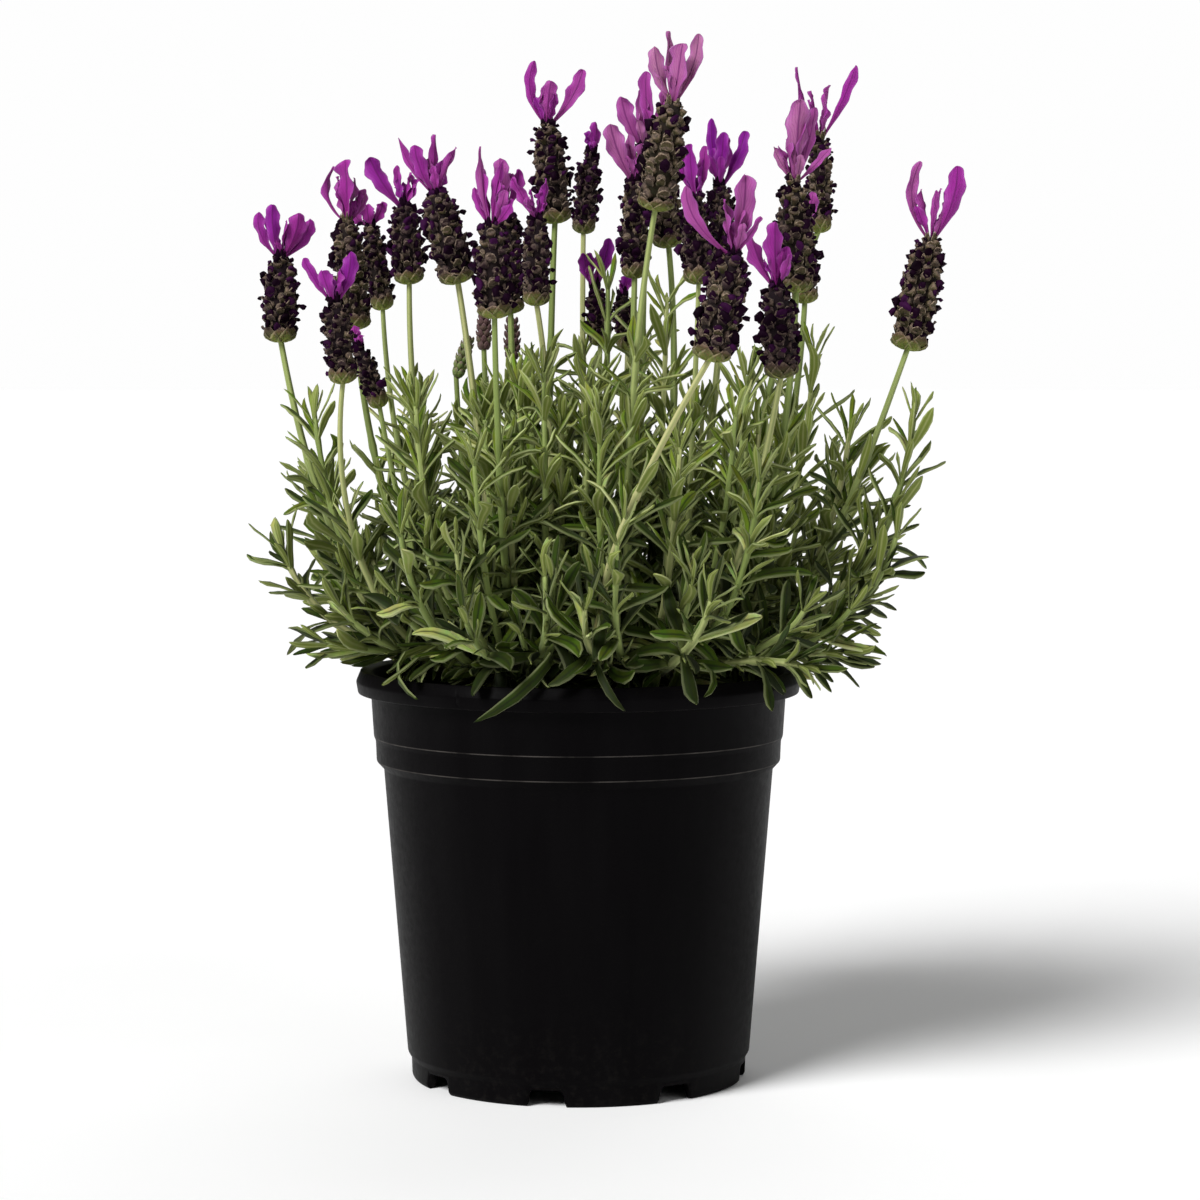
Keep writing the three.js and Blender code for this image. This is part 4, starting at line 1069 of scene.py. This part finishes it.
def makeSpike(head, number):
    bm = startMesh()
    bottom, axis, top = headAxis(head)
    long, half = head["long"], head["wide"] / 2

    def core(t, angle):
        radius = max(spikeRadius(t, half) * spike["core"], 0.8)
        return radius * math.cos(angle), radius * math.sin(angle)

    growAlong(bm, [bottom, top], turnedFrom(axis, 0), 10, 9, core, even=True, tone=head["dark"])
    tiers = round((long - 3) / spike["tier"])
    for tier in range(tiers):
        columns = spike["columns"] if spikeRadius((tier + 1) / (tiers + 0.6), half) > 3.4 else 6
        ring = startMesh()
        for column in range(columns):
            keys = (number, tier * 20 + column)
            # neighbours stand half a tier apart
            share = min((tier + 0.75 + column % 2 * 0.5 + jitter(*keys, 15, 0.22)) / (tiers + 0.35), 1)
            turn = (column + tier % 2 * 0.2) * math.tau / columns + jitter(*keys, 1, 0.16)
            drawCalyx(ring, head, bottom + axis * long * share, turnedFrom(axis, turn), axis, share, keys)
        gather(bm, ring)
    growCup(bm, head, number, bottom, axis)
    growCollar(bm, head, number, bottom, axis)
    return finishPiece(bm, f"calyces_{number + 1:02d}", "spike", f"spike_{number + 1:02d}", *spikeMaterials)


# The broad green scales that hold the spike's foot
def growCup(bm, head, number, bottom, axis):
    half = head["wide"] / 2
    for scale in range(spike["cupScales"]):
        outward = turnedFrom(axis, scale * math.tau / spike["cupScales"] + jitter(number, scale, 9, 0.2))
        high = 4.2 + jitter(number, scale, 10, 1.4)
        line = [bottom - axis * 1.8 + outward * 0.6, bottom - axis * 1.2 + outward * half * 0.5,
                bottom + axis * 0.6 + outward * half * 0.78, bottom + axis * high + outward * half * 0.72]
        growAlong(bm, line, axis.cross(outward), 8, 7, cuppedSection(half * 1.1, 0.7, 0.02, 0.08),
                  material=cupSkin, tone=head["dark"] * 0.4 + jitter(number, scale, 13, 0.2))


# The collar that the bracts stand in
def growCollar(bm, head, number, bottom, axis):
    skin = floretSkin if head["dark"] > 0.5 else scaleSkin
    for scale in range(spike["collarScales"]):
        outward = turnedFrom(axis, scale * math.tau / spike["collarScales"] + jitter(number, scale, 14, 0.3))
        low = bottom + axis * (head["long"] - 2.6) + outward * 1.3
        tip = low + axis * (5.2 + jitter(number, scale, 15, 1)) + outward * 0.9
        growAlong(bm, [low, low.lerp(tip, 0.5) + outward * 0.5, tip], axis.cross(outward), 6, 4,
                  roundSection(2.2, 0.9, scaleOutline), material=skin, tone=0.3)


for number, head in enumerate(heads):
    makeSpike(head, number)
print("spikes ready")


# Bracts

bract = {
    "sides": 16, "rings": 22, "thick": 0.3, "wave": 0.13, "waves": (9, 15), "fold": 0.36, "ruffle": 0.13,
    "outline": [(0, 0.3), (0.08, 0.26), (0.2, 0.38), (0.36, 0.74), (0.52, 0.98), (0.66, 1), (0.8, 0.92),
                (0.9, 0.72), (0.96, 0.48), (0.99, 0.24), (1, 0.1)],
}


# The centre line of a bract, from the middle of the spike's top to its tip
def bractCurve(top, axis, plan, sway):
    x, y, z, _, bow = plan
    root, tip = top - axis * 0.8 + Vector((x, y, 0)) * 0.09, top + Vector((x, y, z))
    lower = root.lerp(tip, 0.36) + Vector((bow * 1.3, y * 0.25 + sway, 0))
    upper = root.lerp(tip, 0.74) + Vector((bow * 0.9, y * 0.15 - sway, 0))
    return [root, lower, upper, tip]


# Bracts that stand among the large ones: one to each side, seen edge on from the front, and three small ones
def moreBracts(head, number):
    tallest = max(plan[2] for plan in head["bracts"])
    for i in range(2):
        turn = i * math.pi + jitter(number, i, 34, 0.4)
        high = tallest * (0.5 + 0.25 * chance(number, i, 35))
        yield high * 0.2 * math.cos(turn), high * 0.2 * math.sin(turn), high, 2 + high * 0.18, 0
    for i in range(3):
        turn = (i + chance(number, i, 26)) * math.tau / 3
        high = tallest * (0.3 + 0.2 * chance(number, i, 27))
        yield high * 0.5 * math.cos(turn), high * 0.5 * math.sin(turn), high, 1.6 + high * 0.15, 0.5


def makeBracts(head, number):
    bm = startMesh()
    _, axis, top = headAxis(head)
    for i, plan in enumerate(head["bracts"] + list(moreBracts(head, number))):
        x, y, _, width, _ = plan
        side = Vector((abs(x) + 6, y * 0.5 + jitter(number, i, 21, 5), 0)).normalized()
        if i >= len(head["bracts"]):
            side = Vector((-y, x, 0)).normalized()
        phase, fold = chance(number, i, 22) * 6, bract["fold"] * (1 if chance(number, i, 23) > 0.35 else -1)
        waves = mix(*bract["waves"], chance(number, i, 29))

        def section(t, angle):
            right, rim = math.cos(angle), abs(math.cos(angle))
            loose, edge = smoothStep(t, 0.12, 0.45), 1.7 if right > 0 else 0
            half = width / 2 * 1.14 * between(bract["outline"], t)
            half *= 1 + bract["ruffle"] * loose * math.sin(t * 22 + phase * 2 + edge * 2)
            ripple = (0.35 + bract["wave"] * width) * rim ** 2 * loose * math.sin(t * waves + phase + edge)
            thick = bract["thick"] * (1.5 - rim) * (1 - 0.6 * smoothStep(t, 0.7, 1))
            return half * right, thick * math.sin(angle) + ripple + fold * half * rim

        growAlong(bm, bractCurve(top, axis, plan, jitter(number, i, 30, 2.6)), side, bract["sides"],
                  bract["rings"], section, twist=jitter(number, i, 24, 1.5 if width < 4.3 else 0.5),
                  tone=head["tint"] + jitter(number, i, 25, 0.2))
    return finishPiece(bm, f"petals_{number + 1:02d}", "bract", f"bracts_{number + 1:02d}", bractTissue)


for number, head in enumerate(heads):
    makeBracts(head, number)
print("bracts ready")


# Branches

def makeBranch(branch, on, plans):
    bm = startMesh()
    growTrunk(bm, branch, on)
    for start, tip, width in hanging:
        if on == branchUnder(*start[:2]):
            growHanging(bm, start, tip, width, plans)
    for plan in plans:
        twig = startMesh()
        growStem(twig, plan)
        growLeaves(twig, plan)
        gather(bm, twig)
    return finishPiece(bm, "foliage_" + branch["name"], "foliage", "branch_" + branch["name"],
                       leafSkin, stemSkin)


for head in heads:
    bottom, axis, top = headAxis(head)
    occupy([bottom.lerp(top, i / 6) for i in range(7)], head["wide"] / 2, "head")
shoots = listShoots()
for plan in shoots:
    occupy([bezier(plan["curve"], i / 30) for i in range(31)], 1, plan["number"])
for on, branch in enumerate(branches):
    makeBranch(branch, on, [plan for plan in shoots if plan["on"] == on])
    print("branch ready:", branch["name"])


# Buds

bud = {"tiers": 6, "columns": 6, "outline": [(0, 0.7), (0.3, 1), (0.7, 0.85), (1, 0.5)]}


def makeBud(plan, number):
    bm = startMesh()
    bottom, axis, top = headAxis(plan)
    body = roundSection(plan["wide"] * 0.7, plan["wide"] * 0.7, [(0, 0.5), (0.3, 1), (0.7, 0.9), (1, 0.4)])
    growAlong(bm, [bottom, top], Vector((1, 0, 0)), 8, 7, body)
    for tier in range(bud["tiers"]):
        share = (tier + 0.4) / bud["tiers"]
        radius = plan["wide"] / 2 * between(bud["outline"], share)
        for column in range(bud["columns"]):
            outward = Vector((1, 0, 0))
            outward.rotate(Matrix.Rotation((column + tier % 2 * 0.5) * math.tau / bud["columns"], 3, axis))
            seat = bottom + axis * (plan["long"] * share - 0.5) + outward * radius * 0.5
            tip = seat + axis * 3.4 + outward * radius * 0.5
            growAlong(bm, [seat, seat.lerp(tip, 0.5) + outward * 0.5, tip], axis.cross(outward), 6, 4,
                      roundSection(3.2, 1.1, scaleOutline),
                      tone=plan["dark"] + share * 0.5 + jitter(number, tier * 9 + column, 31, 0.2))
    return finishPiece(bm, f"bud_{number + 1}", "foliage", "branch_back_left", felt["bud_felt"])


for number, plan in enumerate(buds):
    makeBud(plan, number)
print("buds ready")


# Studio

studio = {
    # soft lamps far away, so that the floor is lit evenly: where each shines from, its strength and softness
    "lamps": [
        {"name": "key", "from": (-0.75, -0.85, 1.0), "strength": 3.7, "soft": 28},
        {"name": "fill", "from": (0.9, -0.7, 0.5), "strength": 0.45, "soft": 60},
        {"name": "rear", "from": (0.2, 1.0, 0.9), "strength": 0.7, "soft": 60},
    ],
    "air": "#ffffff", "airLight": 0.09, "airShown": 0.99, "floorSize": 60,
}


def makeLamps():
    for settings in studio["lamps"]:
        lamp = bpy.data.lights.new(settings["name"], "SUN")
        lamp.energy, lamp.angle = settings["strength"], math.radians(settings["soft"])
        holder = bpy.data.objects.new(settings["name"], lamp)
        holder.rotation_euler = (-Vector(settings["from"])).to_track_quat("-Z", "Y").to_euler()
        bpy.context.scene.collection.objects.link(holder)


# The backdrop is white, but a dim room lights the plant, so its inside falls into shade
def makeAir():
    world = bpy.data.worlds.new("studio air")
    world.use_nodes = True
    tree = world.node_tree
    tree.nodes.clear()
    seen = addNode(tree, "LightPath").outputs["Is Camera Ray"]
    strength = addNode(tree, "MapRange", {"To Min": studio["airLight"], "To Max": studio["airShown"]},
                       {"Value": seen})
    air = addNode(tree, "Background", {"Color": studio["air"]}, {"Strength": strength})
    addNode(tree, "OutputWorld", None, {"Surface": air})
    bpy.context.scene.world = world


def makeFloor():
    bm = bmesh.new()
    bmesh.ops.create_grid(bm, x_segments=1, y_segments=1, size=studio["floorSize"] / 2)
    mesh = bpy.data.meshes.new("floor")
    bm.to_mesh(mesh)
    bm.free()
    mesh.materials.append(makeFloorPaint())
    floor = bpy.data.objects.new("floor", mesh)
    bpy.context.scene.collection.objects.link(floor)


makeLamps()
makeAir()
makeFloor()
bpy.context.scene.view_settings.view_transform = "Standard"
print("studio ready")
